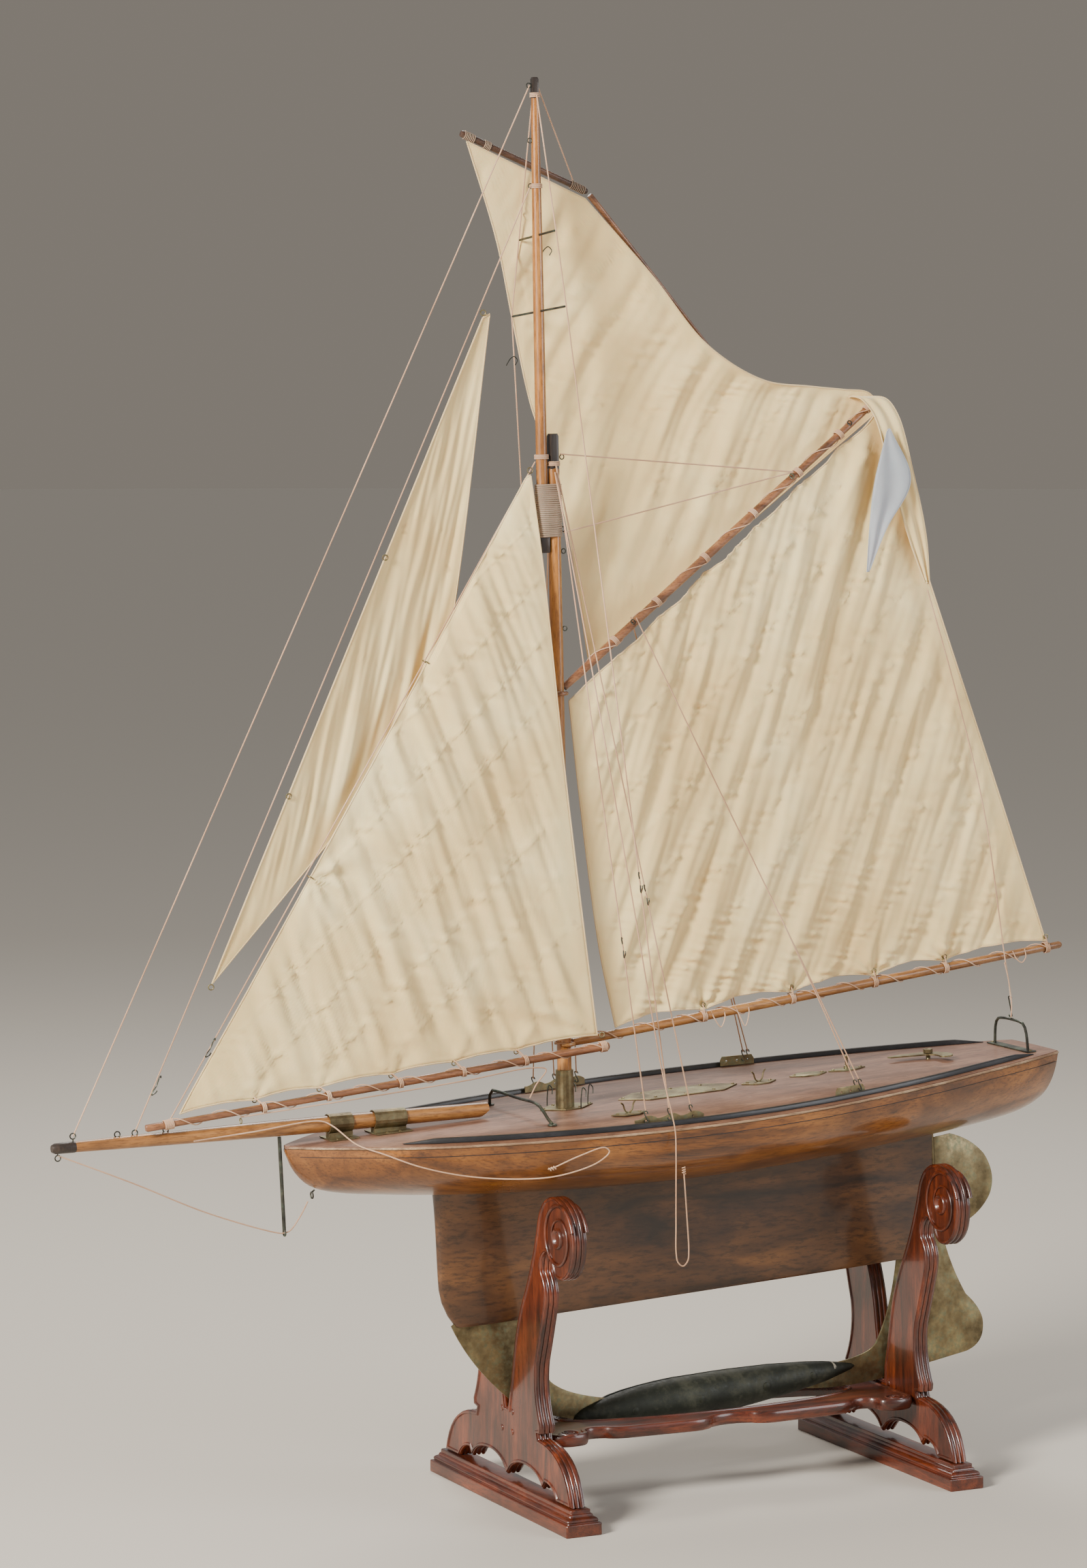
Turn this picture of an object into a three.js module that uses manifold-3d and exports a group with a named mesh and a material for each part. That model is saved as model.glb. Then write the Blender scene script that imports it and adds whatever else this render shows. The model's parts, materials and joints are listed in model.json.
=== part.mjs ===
// A gaff cutter pond yacht with all sail set, resting in its carved mahogany stand.
// Millimetres, +Z up, +X towards the stern, +Y to starboard; the origin is on the floor
// under the middle of the whole length, from the bowsprit's tip to the end of the boom.
import * as THREE from 'three';
import { mergeVertices } from 'three/addons/utils/BufferGeometryUtils.js';
import Module from 'manifold-3d';

const wasm = await Module();
wasm.setup();

// ---------------------------------------------------------------- driving dimensions
const GAP = 0.35;                      // clearance between pieces that touch

// the middle of the stand is this far aft of the middle of the whole length
const STAND_X = 180.7;

// stand
const FOOT_SPACING = 560;              // between the middles of the two foot bars
const FOOT_LENGTH = 408;
const FOOT_WIDTH = 50;
const FRAME_THICKNESS = 22;
const STRETCHER_THICKNESS = 16;
const STRETCHER_Z = 96;                // middle of the stretcher board
const STRETCHER_OPENING = [215, 45];   // half length and half width of its oval opening

// the boat's own frame: its origin is on the deck at the mast
const MAST_ON_DECK = [-206, 0, 511];
const TRIM = THREE.MathUtils.degToRad(3);      // she sits bow down in the stand
const RAKE = THREE.MathUtils.degToRad(1.8);    // the mast leans aft of the hull's upright

// hull stations: [x, half beam, sheer z, bottom z]
const STATIONS = [
  [-394, 3, -1.5, -10], [-384, 13, -1.5, -34], [-364, 31, -2, -56], [-330, 58, -2.6, -69],
  [-270, 98, -4, -79], [-200, 128, -5.6, -88], [-100, 158, -7.4, -97], [0, 178, -8.6, -104],
  [130, 191, -9, -109], [260, 186, -8.4, -110], [380, 167, -6.6, -107], [480, 143, -4.8, -103],
  [560, 118, -3.2, -99], [640, 91, -2, -92], [700, 66, -1.5, -82], [714, 58, -1.5, -78],
];
const DECK_Z = -1;                     // deck surface on the centre line
const DECK_THICKNESS = 4.5;
const HULL_WALL = 9;
const RAIL_INSET = 12;
const RAIL_HEIGHT = 6.5;

// fin and keel
const FIN_FRONT = -192;
const FIN_BACK = 541;
const FIN_BOTTOM = -266;
const FIN_HALF_THICKNESS = 13;
const PLATE_THICKNESS = 3;
const BULB_AXIS = { x0: -10, z0: -410, x1: 415, z1: -401 };

// rudder
const RUDDER_X = 545;
const STOCK_RADIUS = 3;

// spars
const LOWER_MAST_TOP = 866;
const LOWER_MAST_RADII = [9.4, 7.6];
const TOPMAST_OFFSET = -16.4;          // forward of the lower mast
const TOPMAST_HEEL = 716;
const TOPMAST_TOP = 1316;
const BOWSPRIT_HEEL = [-100, 10.2];
const BOWSPRIT_TIP = [-701, 33];
const BOOM_Z = 82;
const BOOM_END = [760, 131.6];
const GAFF_Z = 535;
const GAFF_PEAK = [500, 880];

// rigging
const CORD = 1.8;                      // diameter of the standing cords
const SAIL_CLOTH = 1.2;
const SHROUD_PLATE_Y = 163.5;
const AFT_PLATE_Y = 153;

// ---------------------------------------------------------------- materials
const finish = (colour, roughness, metalness = 0) =>
  new THREE.MeshStandardMaterial({ color: colour, roughness, metalness });
const mahogany = finish(0x6e2a12, 0.3);
const hullWood = finish(0x9a5f26, 0.4);
const deckWood = finish(0x8a6450, 0.7);
const blackWood = finish(0x1c1512, 0.45);
const sparWood = finish(0xa8682a, 0.4);
const brass = finish(0x6f6a48, 0.5, 1);
const lead = finish(0x2f3a30, 0.5, 0.6);
const wire = finish(0x4d524a, 0.5, 1);
const canvas = finish(0xe2cfa6, 0.9);
const bunting = finish(0xa9b6c0, 0.9);
const twine = finish(0xc09a76, 0.85);

// ---------------------------------------------------------------- helpers
const yacht = new THREE.Group();
const stand = new THREE.Group();
const boat = new THREE.Group();
boat.position.set(...MAST_ON_DECK);
boat.rotation.y = -TRIM;
const rig = new THREE.Group();          // its Z axis is the axis of the lower mast
rig.rotation.y = RAKE;
boat.add(rig);
yacht.add(stand, boat);
yacht.position.x = STAND_X;

const v3 = (x, y, z) => new THREE.Vector3(x, y, z);

function add(name, geometry, material, parent) {
  const mesh = new THREE.Mesh(geometry, material);
  mesh.name = name;
  parent.add(mesh);
  return mesh;
}

function bare(geometry) {
  const g = geometry.clone();
  g.deleteAttribute('normal');
  g.deleteAttribute('uv');
  return mergeVertices(g, 1e-4);
}

function toSolid(geometry) {
  const g = bare(geometry);
  const triVerts = Uint32Array.from(g.index.array);
  return new wasm.Manifold(new wasm.Mesh({
    numProp: 3, vertProperties: Float32Array.from(g.attributes.position.array), triVerts,
  }));
}

function toGeometry(solid) {
  const m = solid.getMesh();
  const g = new THREE.BufferGeometry();
  g.setAttribute('position', new THREE.BufferAttribute(Float32Array.from(m.vertProperties), 3));
  g.setIndex(new THREE.BufferAttribute(Uint32Array.from(m.triVerts), 1));
  return g;
}

const join = (...list) => toGeometry(list.map(toSolid).reduce((a, b) => a.add(b)));
const cut = (body, ...tools) => toGeometry(
  tools.map(toSolid).reduce((a, b) => a.subtract(b), toSolid(body)));
const common = (a, b) => toGeometry(toSolid(a).intersect(toSolid(b)));

function box(sx, sy, sz, x, y, z) {
  return new THREE.BoxGeometry(sx, sy, sz).translate(x, y, z);
}

// a round bar between two points, thicker or thinner at the far end
function bar(a, b, ra, rb = ra, sides = 16) {
  const from = v3(...a);
  const to = v3(...b);
  const g = new THREE.CylinderGeometry(rb, ra, from.distanceTo(to), sides);
  const turn = new THREE.Quaternion().setFromUnitVectors(v3(0, 1, 0), to.clone().sub(from).normalize());
  g.applyQuaternion(turn);
  return g.translate((a[0] + b[0]) / 2, (a[1] + b[1]) / 2, (a[2] + b[2]) / 2);
}

function ring(radius, tube, centre, axis = 'y', arc = Math.PI * 2) {
  const g = new THREE.TorusGeometry(radius, tube, 6, 12, arc);
  if (axis === 'x') g.rotateY(Math.PI / 2);
  if (axis === 'y') g.rotateX(Math.PI / 2);
  return g.translate(...centre);
}

// a cord or wire along a smooth line through the points
function cordAlong(points, diameter, steps = 1, sides = 8) {
  const p = points.map((q) => v3(...q));
  const path = p.length === 2 ? new THREE.LineCurve3(p[0], p[1])
    : new THREE.CatmullRomCurve3(p, false, 'centripetal');
  const section = new THREE.Shape();
  for (let i = 0; i < sides; i++) {
    const a = (i / sides) * 2 * Math.PI;
    const [x, y] = [Math.cos(a) * diameter / 2, Math.sin(a) * diameter / 2];
    if (i) section.lineTo(x, y);
    else section.moveTo(x, y);
  }
  return new THREE.ExtrudeGeometry(section, { steps, bevelEnabled: false, extrudePath: path });
}

// a block with a grid of points, moved to where place(u, v, w) says; u, v, w run 0 to 1
function shaped(nu, nv, nw, place) {
  const g = bare(new THREE.BoxGeometry(1, 1, 1, nu, nv, nw));
  const p = g.attributes.position;
  for (let i = 0; i < p.count; i++) {
    p.setXYZ(i, ...place(p.getX(i) + 0.5, p.getY(i) + 0.5, p.getZ(i) + 0.5));
  }
  return g;
}

// turns a block inside out, for one whose shape was drawn mirrored
function mirrored(geometry) {
  const g = bare(geometry);
  const index = g.index.array;
  for (let i = 0; i < index.length; i += 3) [index[i], index[i + 1]] = [index[i + 1], index[i]];
  return g;
}

// smooth value between rows of a table whose first column is x
function along(table, column, x) {
  let i = 0;
  while (i < table.length - 2 && table[i + 1][0] < x) i++;
  const at = (k) => table[Math.min(Math.max(k, 0), table.length - 1)];
  const slope = (k) => (at(k + 1)[column] - at(k - 1)[column]) / (at(k + 1)[0] - at(k - 1)[0]);
  const span = at(i + 1)[0] - at(i)[0];
  const t = THREE.MathUtils.clamp((x - at(i)[0]) / span, 0, 1);
  const [a, b] = [at(i)[column], at(i + 1)[column]];
  const [ma, mb] = [slope(i) * span, slope(i + 1) * span];
  return a + ma * t + (3 * (b - a) - 2 * ma - mb) * t * t + (2 * (a - b) + ma + mb) * t * t * t;
}

const halfBeam = (x) => along(STATIONS, 1, x);
const sheer = (x) => along(STATIONS, 2, x);
const bottom = (x) => along(STATIONS, 3, x);
const deckTop = (x, y) => DECK_Z + (sheer(x) - DECK_Z) * (y / halfBeam(x)) ** 2;

// ---------------------------------------------------------------- the stand
const FRAME_X = FOOT_SPACING / 2;
const FORE_SLOT_FLOOR = 126.1;            // the keel plate stands on the floors of both slots
const AFT_SLOT_FLOOR = 110.2;

// one foot bar: a plinth with a stepped moulding on it
function footBar() {
  const w = FOOT_WIDTH;
  const outline = new THREE.Shape();
  const half = [
    [w / 2, 0], [w / 2, 16], [w / 2 - 5, 17], [w / 2 - 7, 24], [w / 2 - 12, 26], [w / 2 - 12, 32],
  ];
  outline.moveTo(-half[0][0], half[0][1]);
  half.forEach(([x, z]) => outline.lineTo(x, z));
  half.slice(1).reverse().forEach(([x, z]) => outline.lineTo(-x, z));
  const long = new THREE.ExtrudeGeometry(outline, { depth: FOOT_LENGTH, bevelEnabled: false });
  long.translate(0, 0, -FOOT_LENGTH / 2).rotateX(Math.PI / 2);
  // the moulding also returns across both ends
  const ends = shaped(1, 1, 5, (u, v, s) => {
    const step = [0, 5, 7, 12, 12, 12][Math.round(s * 5)];
    const z = [16, 17, 24, 26, 29, 40][Math.round(s * 5)];
    return [(u - 0.5) * 80, (v - 0.5) * (FOOT_LENGTH - 2 * step), z];
  });
  const lower = box(80, FOOT_LENGTH, 16.5, 0, 0, 8.25);
  return common(long, join(lower, ends));
}

// half outline of an end frame in (y, z), from the top of the slot round to the arch
function frameShape(slotFloor) {
  const s = new THREE.Shape();
  const side = (k) => [
    ['L', 5 * k, slotFloor], ['L', 5 * k, 128],
    ['Q', 11 * k, 152, 18 * k, 190], ['Q', 26 * k, 240, 52 * k, 285],
    ['Q', 76 * k, 330, 88 * k, 375], ['Q', 94 * k, 404, 112 * k, 415],
    ['Q', 128 * k, 424, 148 * k, 419], ['Q', 186 * k, 408, 190 * k, 368], ['Q', 190 * k, 330, 160 * k, 318],
    ['Q', 140 * k, 313, 132 * k, 330], ['Q', 124 * k, 350, 110 * k, 346], ['Q', 94 * k, 338, 98 * k, 318],
    ['Q', 116 * k, 300, 110 * k, 276], ['Q', 100 * k, 240, 86 * k, 200], ['Q', 78 * k, 160, 100 * k, 120],
    ['L', 99 * k, 110], ['L', 90 * k, 108], ['L', 92 * k, 102],
    ['Q', 170 * k, 100, 186 * k, 32.4], ['L', 144 * k, 32.4], ['Q', 134 * k, 50, 112 * k, 50],
    ['L', 104 * k, 40], ['Q', 94 * k, 58, 60 * k, 60], ['Q', 30 * k, 62, 12 * k, 50], ['L', 0, 38],
  ];
  const right = side(1);
  const left = side(-1);
  s.moveTo(5, slotFloor);
  right.slice(1).forEach(([kind, ...q]) => (kind === 'L' ? s.lineTo(...q) : s.quadraticCurveTo(...q)));
  // back up the other side: the same steps in reverse
  const ends = left.map((q) => q.slice(-2));
  for (let i = left.length - 1; i > 0; i--) {
    const [kind, ...q] = left[i];
    if (kind === 'L') s.lineTo(...ends[i - 1]);
    else s.quadraticCurveTo(q[0], q[1], ...ends[i - 1]);
  }
  return s;
}

function endFrame(slotFloor) {
  const shape = frameShape(slotFloor);
  const g = new THREE.ExtrudeGeometry(shape, {
    depth: FRAME_THICKNESS - 8, bevelEnabled: true, bevelThickness: 4, bevelSize: 3, bevelOffset: -3,
    bevelSegments: 1, curveSegments: 3,
  });
  // the outline's x runs to starboard and its y runs up
  g.translate(0, 0, -(FRAME_THICKNESS - 8) / 2);
  g.applyMatrix4(new THREE.Matrix4().makeBasis(v3(0, 1, 0), v3(0, 0, 1), v3(1, 0, 0)));
  // the eyes of the scrolls are cut through
  const eyes = [-1, 1].map((k) => new THREE.CylinderGeometry(10, 10, 60, 12)
    .rotateZ(Math.PI / 2).translate(0, 148 * k, 370));
  return cut(g, ...eyes);
}

// the stretcher is a scalloped board with a long opening in the middle and scrolled corners
function stretcherShape() {
  const s = new THREE.Shape();
  const reach = FRAME_X - FRAME_THICKNESS / 2 - GAP;
  const side = [
    ['L', reach, -78], ['Q', reach - 4, -96, reach - 26, -98], ['Q', reach - 56, -98, reach - 54, -80],
    ['Q', reach - 60, -62, reach - 84, -72], ['Q', reach - 96, -84, reach - 120, -84],
    ['L', 60, -88], ['Q', 40, -88, 28, -76], ['Q', 0, -64, -28, -76], ['Q', -40, -88, -60, -88],
    ['L', 120 - reach, -84], ['Q', 96 - reach, -84, 84 - reach, -72],
    ['Q', 60 - reach, -62, 54 - reach, -80],
    ['Q', 56 - reach, -98, 26 - reach, -98], ['Q', 4 - reach, -96, -reach, -78],
  ];
  s.moveTo(reach, -78);
  side.slice(1).forEach(([kind, ...q]) => (kind === 'L' ? s.lineTo(...q) : s.quadraticCurveTo(...q)));
  s.lineTo(-reach, 78);
  const flipped = side.map((q) => q.slice(-2));
  for (let i = side.length - 1; i > 0; i--) {
    const [kind, ...q] = side[i];
    const to = [flipped[i - 1][0], -flipped[i - 1][1]];
    if (kind === 'L') s.lineTo(...to);
    else s.quadraticCurveTo(q[0], -q[1], ...to);
  }
  return s;
}

function stretcher() {
  const t = STRETCHER_THICKNESS;
  const board = new THREE.ExtrudeGeometry(stretcherShape(), {
    depth: t - 6, bevelEnabled: true, bevelThickness: 3, bevelSize: 3, bevelOffset: -3,
    bevelSegments: 1, curveSegments: 3,
  }).translate(0, 0, STRETCHER_Z - t / 2 + 3);
  const opening = new THREE.CylinderGeometry(1, 1, 60, 28).rotateX(Math.PI / 2)
    .scale(...STRETCHER_OPENING, 1).translate(0, 0, STRETCHER_Z);
  return cut(board, opening);
}

for (const [end, sign, slotFloor] of [['fore', -1, FORE_SLOT_FLOOR], ['aft', 1, AFT_SLOT_FLOOR]]) {
  add(`${end}_foot_bar`, footBar(), mahogany, stand).position.x = sign * FRAME_X;
  const frame = add(`${end}_end_frame`, endFrame(slotFloor), mahogany, stand);
  frame.position.x = sign * FRAME_X;
}
add('stretcher', stretcher(), mahogany, stand);

// ---------------------------------------------------------------- the hull
const ROUND = 14;                      // steps round half a section

// one station's outline: t runs 0 at one deck edge, under the keel, to 1 at the other
function sectionPoint(x, t, inset) {
  const b = Math.max(halfBeam(x) - inset, 1);
  const depth = Math.max(sheer(x) - DECK_THICKNESS - bottom(x) - inset, 2);
  const a = (t - 0.5) * Math.PI;
  const y = b * Math.sign(a) * Math.abs(Math.sin(a)) ** 1.21;
  const z = sheer(x) - DECK_THICKNESS - depth * Math.cos(a) ** 0.87;
  return [y, z];
}

function canoeBody(x0, x1, inset, top, steps) {
  return shaped(steps, ROUND, 1, (u, t, w) => {
    // stations crowd together at the bow, where the shape changes fastest
    const x = x0 + (x1 - x0) * (inset ? u : u ** 1.35);
    const [y, z] = sectionPoint(x, t, inset);
    const rakeBack = (u > 0.97 && !inset) ? (z - sheer(x)) * 0.2 * ((u - 0.97) / 0.03) : 0;
    return w < 0.5 ? [x + rakeBack, y, z] : [x + rakeBack, y * 0.985, top(x, y)];
  });
}

function fin() {
  return shaped(10, 2, 4, (u, v, w) => {
    const z = FIN_BOTTOM + (1 - w) * (-82 - FIN_BOTTOM);
    const low = THREE.MathUtils.clamp((-200 - z) / 66, 0, 1);
    const front = FIN_FRONT + 22 * low ** 2.5;
    const x = front + (FIN_BACK - front) * u;
    const nose = Math.min(1, Math.sqrt(Math.max(x - front, 0) / 60) * 0.85 + 0.15);
    const tail = Math.min(1, 0.45 + (FIN_BACK - x) / 260);
    const fairing = 14 * THREE.MathUtils.clamp((z + 150) / 60, 0, 1) ** 2;
    const half = (FIN_HALF_THICKNESS + fairing) * nose * tail * (w > 0.99 ? 0.8 : 1);
    return [x, (v - 0.5) * 2 * half, z];
  });
}

const plateOutline = () => {
  const s = new THREE.Shape();
  s.moveTo(-150, -246);
  s.lineTo(-177, -264);
  s.quadraticCurveTo(-152, -322, -100, -370);
  s.quadraticCurveTo(-60, -398, -6, -411);
  s.lineTo(60, -424);
  s.lineTo(330, -420);
  s.quadraticCurveTo(420, -436, 528, -414);
  s.lineTo(586, -407);
  s.quadraticCurveTo(618, -400, 614, -366);
  s.quadraticCurveTo(610, -348, 589, -328);
  s.quadraticCurveTo(566, -286, 556, -240);
  s.lineTo(543, -240);
  s.lineTo(543, -246);
  s.lineTo(486, -246);
  s.quadraticCurveTo(476, -330, 446, -376);
  s.quadraticCurveTo(432, -394, 352, -394);
  s.lineTo(60, -394);
  s.quadraticCurveTo(-16, -380, -40, -356);
  s.quadraticCurveTo(-58, -330, -64, -246);
  return s;
};

// the outline is drawn in (x, z), and the plate stands on the centre line
function upright(shape, thickness, segments = 6) {
  const g = new THREE.ExtrudeGeometry(shape,
    { depth: thickness, bevelEnabled: false, curveSegments: segments });
  g.translate(0, 0, -thickness / 2);
  return g.rotateX(Math.PI / 2);
}

// a round hole for the rudder stock, from above the tiller to below the canoe body
const stockHole = (radius) => new THREE.CylinderGeometry(radius, radius, 180, 16)
  .rotateX(Math.PI / 2).translate(RUDDER_X, 0, -60);

function hull() {
  const outer = canoeBody(-394, 714, 0, (x) => sheer(x) - DECK_THICKNESS, 18);
  const inner = canoeBody(-300, 640, HULL_WALL, (x) => sheer(x) + 6, 8);
  const slotFront = box(118, PLATE_THICKNESS + 2 * GAP, 31, -120, 0, -261);
  const slotBack = box(70, PLATE_THICKNESS + 2 * GAP, 31, 513, 0, -261);
  return toGeometry(toSolid(outer).subtract(toSolid(inner)).add(toSolid(mirrored(fin())))
    .subtract(toSolid(slotFront)).subtract(toSolid(slotBack))
    .subtract(toSolid(stockHole(STOCK_RADIUS + 0.5))));
}

function deck() {
  const board = shaped(16, 4, 1, (u, v, w) => {
    const x = -393 + 1106 * u ** 1.35;
    const y = (v - 0.5) * 2 * (halfBeam(x) * 0.985);
    const z = sheer(x) - DECK_THICKNESS + GAP;
    return w < 0.5 ? [x, y, z] : [x, y, deckTop(x, y)];
  });
  const mastHole = new THREE.CylinderGeometry(12.6, 12.6, 40, 20).rotateX(Math.PI / 2);
  const hatch = box(110, 34, 40, 165, 0, 0);
  return cut(board, mastHole, stockHole(4), hatch);
}

function rail(side) {
  return shaped(16, 1, 1, (u, v, w) => {
    const x = -268 + 938 * u;
    const y = halfBeam(x) - RAIL_INSET - 6 * v;
    const tip = Math.min(1, 0.35 + Math.min(u, 1 - u) * 30);
    const foot = Math.max(deckTop(x, y), deckTop(x, y - 6)) + GAP;
    return [x, side * y, foot + RAIL_HEIGHT * w * tip];
  });
}

add('hull', hull(), hullWood, boat);
add('deck', deck(), deckWood, boat);
add('port_rail', rail(-1), blackWood, boat);
add('starboard_rail', mirrored(rail(1)), blackWood, boat);

// ---------------------------------------------------------------- keel plate and bulb
add('keel_plate', upright(plateOutline(), PLATE_THICKNESS), brass, boat);

function bulbHalf(side) {
  const radii = [[0, 0], [8, 8], [34, 17], [76, 25.5], [124, 29], [176, 29], [232, 27], [292, 23],
    [350, 17], [400, 8.5], [425, 0]];
  const profile = radii.map(([x, r]) => new THREE.Vector2(r, x));
  const length = 425;
  const g = new THREE.LatheGeometry(profile, 16).rotateZ(-Math.PI / 2);
  const tilt = Math.atan2(BULB_AXIS.z1 - BULB_AXIS.z0, length);
  g.rotateY(-tilt).translate(BULB_AXIS.x0, 0, BULB_AXIS.z0);
  const near = PLATE_THICKNESS / 2 + GAP;
  return common(g, box(600, 60, 100, 200, side * (near + 30), -405));
}
add('bulb_port', bulbHalf(-1), lead, boat);
add('bulb_starboard', bulbHalf(1), lead, boat);

// ---------------------------------------------------------------- rudder
function rudderBlade() {
  const s = new THREE.Shape();
  s.moveTo(RUDDER_X + STOCK_RADIUS + GAP, -108);
  s.lineTo(574, -106);
  s.quadraticCurveTo(606, -116, 626, -140);
  s.quadraticCurveTo(646, -172, 632, -198);
  s.quadraticCurveTo(614, -226, 577, -234);
  s.lineTo(RUDDER_X + STOCK_RADIUS + GAP, -235);
  return upright(s, 1.6);
}
add('rudder_blade', rudderBlade(), brass, boat);
const stock = bar([RUDDER_X, 0, -239], [RUDDER_X, 0, 12], STOCK_RADIUS, STOCK_RADIUS, 12);
add('rudder_stock', stock, brass, boat);

// a thin crescent lever on the rudder stock
function tiller() {
  const s = new THREE.Shape();
  s.moveTo(488, 10);
  s.quadraticCurveTo(520, 18, 545, 9);
  s.quadraticCurveTo(568, 0, 568, -22);
  s.quadraticCurveTo(566, -38, 552, -36);
  s.quadraticCurveTo(544, -33, 548, -22);
  s.quadraticCurveTo(548, -8, 534, -6);
  s.quadraticCurveTo(512, 0, 490, 5);
  const g = new THREE.ExtrudeGeometry(s, { depth: 2, bevelEnabled: false, curveSegments: 6 })
    .translate(0, 0, 5);
  return cut(g, stockHole(STOCK_RADIUS + GAP));
}
add('tiller', tiller(), brass, boat);
const nut = new THREE.CylinderGeometry(6.5, 6.5, 5, 6).rotateX(Math.PI / 2).translate(RUDDER_X, 0, 10);
add('tiller_nut', cut(nut, stockHole(STOCK_RADIUS + GAP)), brass, boat);

// ---------------------------------------------------------------- masts
// a lozenge plate on the deck, long corners fore and aft
function lozenge(length, width, flat, x, y, thickness = 1.5) {
  const s = new THREE.Shape();
  s.moveTo(-length / 2, 0);
  s.lineTo(-flat / 2, -width / 2);
  s.lineTo(flat / 2, -width / 2);
  s.lineTo(length / 2, 0);
  s.lineTo(flat / 2, width / 2);
  s.lineTo(-flat / 2, width / 2);
  const g = new THREE.ExtrudeGeometry(s, { depth: thickness, bevelEnabled: false });
  return g.translate(x, y, deckTop(x, Math.max(Math.abs(y) - width / 2, 0)) + GAP);
}

const socketTube = bar([0, 0, DECK_Z + GAP], [0, 0, 49], 12.2, 11.6, 20).rotateY(RAKE);
const socketBore = bar([0, 0, -30], [0, 0, 60], 10, 10, 20).rotateY(RAKE);
add('mast_socket', cut(join(lozenge(76, 44, 24, 2, 0), socketTube), socketBore), brass, boat);

function lowerMast() {
  const profile = [[0, 1], [LOWER_MAST_RADII[0], 1], [LOWER_MAST_RADII[0], 60], [9, 400], [8.2, 700],
    [LOWER_MAST_RADII[1], 820], [6.4, 826], [5.4, LOWER_MAST_TOP], [0, LOWER_MAST_TOP]];
  return new THREE.LatheGeometry(profile.map(([r, z]) => new THREE.Vector2(r, z)), 20).rotateX(Math.PI / 2);
}
add('lower_mast', lowerMast(), sparWood, rig);

const UPPER_SPREADER = { z: 1118, reach: 52, tilt: 0.09 };
const LOWER_SPREADER = { z: 1022, reach: 77, tilt: 0.07 };
function spreaderEnd({ z, reach, tilt }, side, beyond = 0) {
  return [TOPMAST_OFFSET, side * (reach + beyond), z - side * (reach + beyond) * tilt];
}
function topmast() {
  const profile = [[0, 0], [7.2, 0], [7.2, 120], [7, 320], [5.4, 540], [4.2, 597], [2.5, 600], [0, 600]];
  const g = new THREE.LatheGeometry(profile.map(([r, z]) => new THREE.Vector2(r, z)), 18)
    .rotateX(Math.PI / 2).translate(TOPMAST_OFFSET, 0, TOPMAST_HEEL);
  const bores = [UPPER_SPREADER, LOWER_SPREADER].map((s) => bar(
    spreaderEnd({ ...s, reach: 20 }, -1), spreaderEnd({ ...s, reach: 20 }, 1), 1.5 + GAP, 1.5 + GAP, 10));
  return cut(g, ...bores);
}
add('topmast', topmast(), sparWood, rig);
for (const [name, s] of [['upper_spreader', UPPER_SPREADER], ['lower_spreader', LOWER_SPREADER]]) {
  add(name, bar(spreaderEnd(s, -1), spreaderEnd(s, 1), 1.5, 1.5, 10), wire, rig);
}

// the cord that binds the topmast to the head of the lower mast
function mastLashing() {
  const around = (r) => {
    const s = new THREE.Shape();
    s.absarc(0, 0, r, -Math.PI / 2, Math.PI / 2, false);
    s.absarc(TOPMAST_OFFSET, 0, r, Math.PI / 2, Math.PI * 1.5, false);
    return s;
  };
  const drum = (r, z, depth) => new THREE.ExtrudeGeometry(around(r),
    { depth, bevelEnabled: false, curveSegments: 8 }).translate(0, 0, z);
  return cut(drum(10.2, 735, 70), drum(8.6, 700, 150));
}
add('mast_lashing', mastLashing(), twine, rig);

// ---------------------------------------------------------------- bowsprit
const steeve = Math.atan2(BOWSPRIT_TIP[1] - BOWSPRIT_HEEL[1], BOWSPRIT_HEEL[0] - BOWSPRIT_TIP[0]);
const bowspritZ = (x) => BOWSPRIT_HEEL[1] + (BOWSPRIT_HEEL[0] - x) * Math.tan(steeve);
function bowsprit() {
  const length = Math.hypot(BOWSPRIT_HEEL[0] - BOWSPRIT_TIP[0], BOWSPRIT_TIP[1] - BOWSPRIT_HEEL[1]);
  const profile = [
    [0, 0], [9.4, 0], [10.4, 200], [10.2, 320], [7.6, 520], [6.2, length - 6], [4, length], [0, length],
  ];
  const g = new THREE.LatheGeometry(profile.map(([r, z]) => new THREE.Vector2(r, z)), 20);
  g.rotateZ(Math.PI / 2).rotateY(steeve).translate(BOWSPRIT_HEEL[0], 0, BOWSPRIT_HEEL[1]);
  // the heel is cut off on a slant
  const slant = new THREE.BoxGeometry(60, 60, 60).translate(30, 0, 0).rotateY(-0.95).translate(-112, 0, 10);
  return cut(g, slant);
}
add('bowsprit', bowsprit(), sparWood, boat);

// a brass band round the bowsprit with a foot on the deck
function band(x, length) {
  const z = bowspritZ(x);
  const hoop = new THREE.CylinderGeometry(12.4, 12.4, length, 20).rotateZ(Math.PI / 2).rotateY(steeve);
  hoop.translate(x, 0, z);
  const bore = new THREE.CylinderGeometry(10.9, 10.9, length * 2, 24).rotateZ(Math.PI / 2).rotateY(steeve);
  bore.translate(x, 0, z);
  const foot = box(length + 6, 40, 1.5, x, 0, DECK_Z + GAP + 0.75);
  const neck = box(length, 12, 8, x, 0, DECK_Z + GAP + 4);
  return cut(join(hoop, foot, neck), bore);
}
add('fore_bowsprit_band', band(-318, 32), brass, boat);
add('aft_bowsprit_band', band(-250, 44), brass, boat);

const STRIKER_X = -400;
const strikerRod = bar([STRIKER_X, 0, -109], [STRIKER_X, 0, bowspritZ(STRIKER_X) - 11], 2.4, 2.4, 10);
add('dolphin_striker', join(strikerRod, ring(3.8, 1.2, [STRIKER_X, 0, -112], 'x')), wire, boat);
const stemEyeShank = bar([-360, 0, -65.4], [-356, 0, -62.5], 1.1, 1.1, 8);
add('stem_eye', join(ring(4, 1.1, [-360, 0, -69], 'x'), stemEyeShank), wire, boat);

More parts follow.
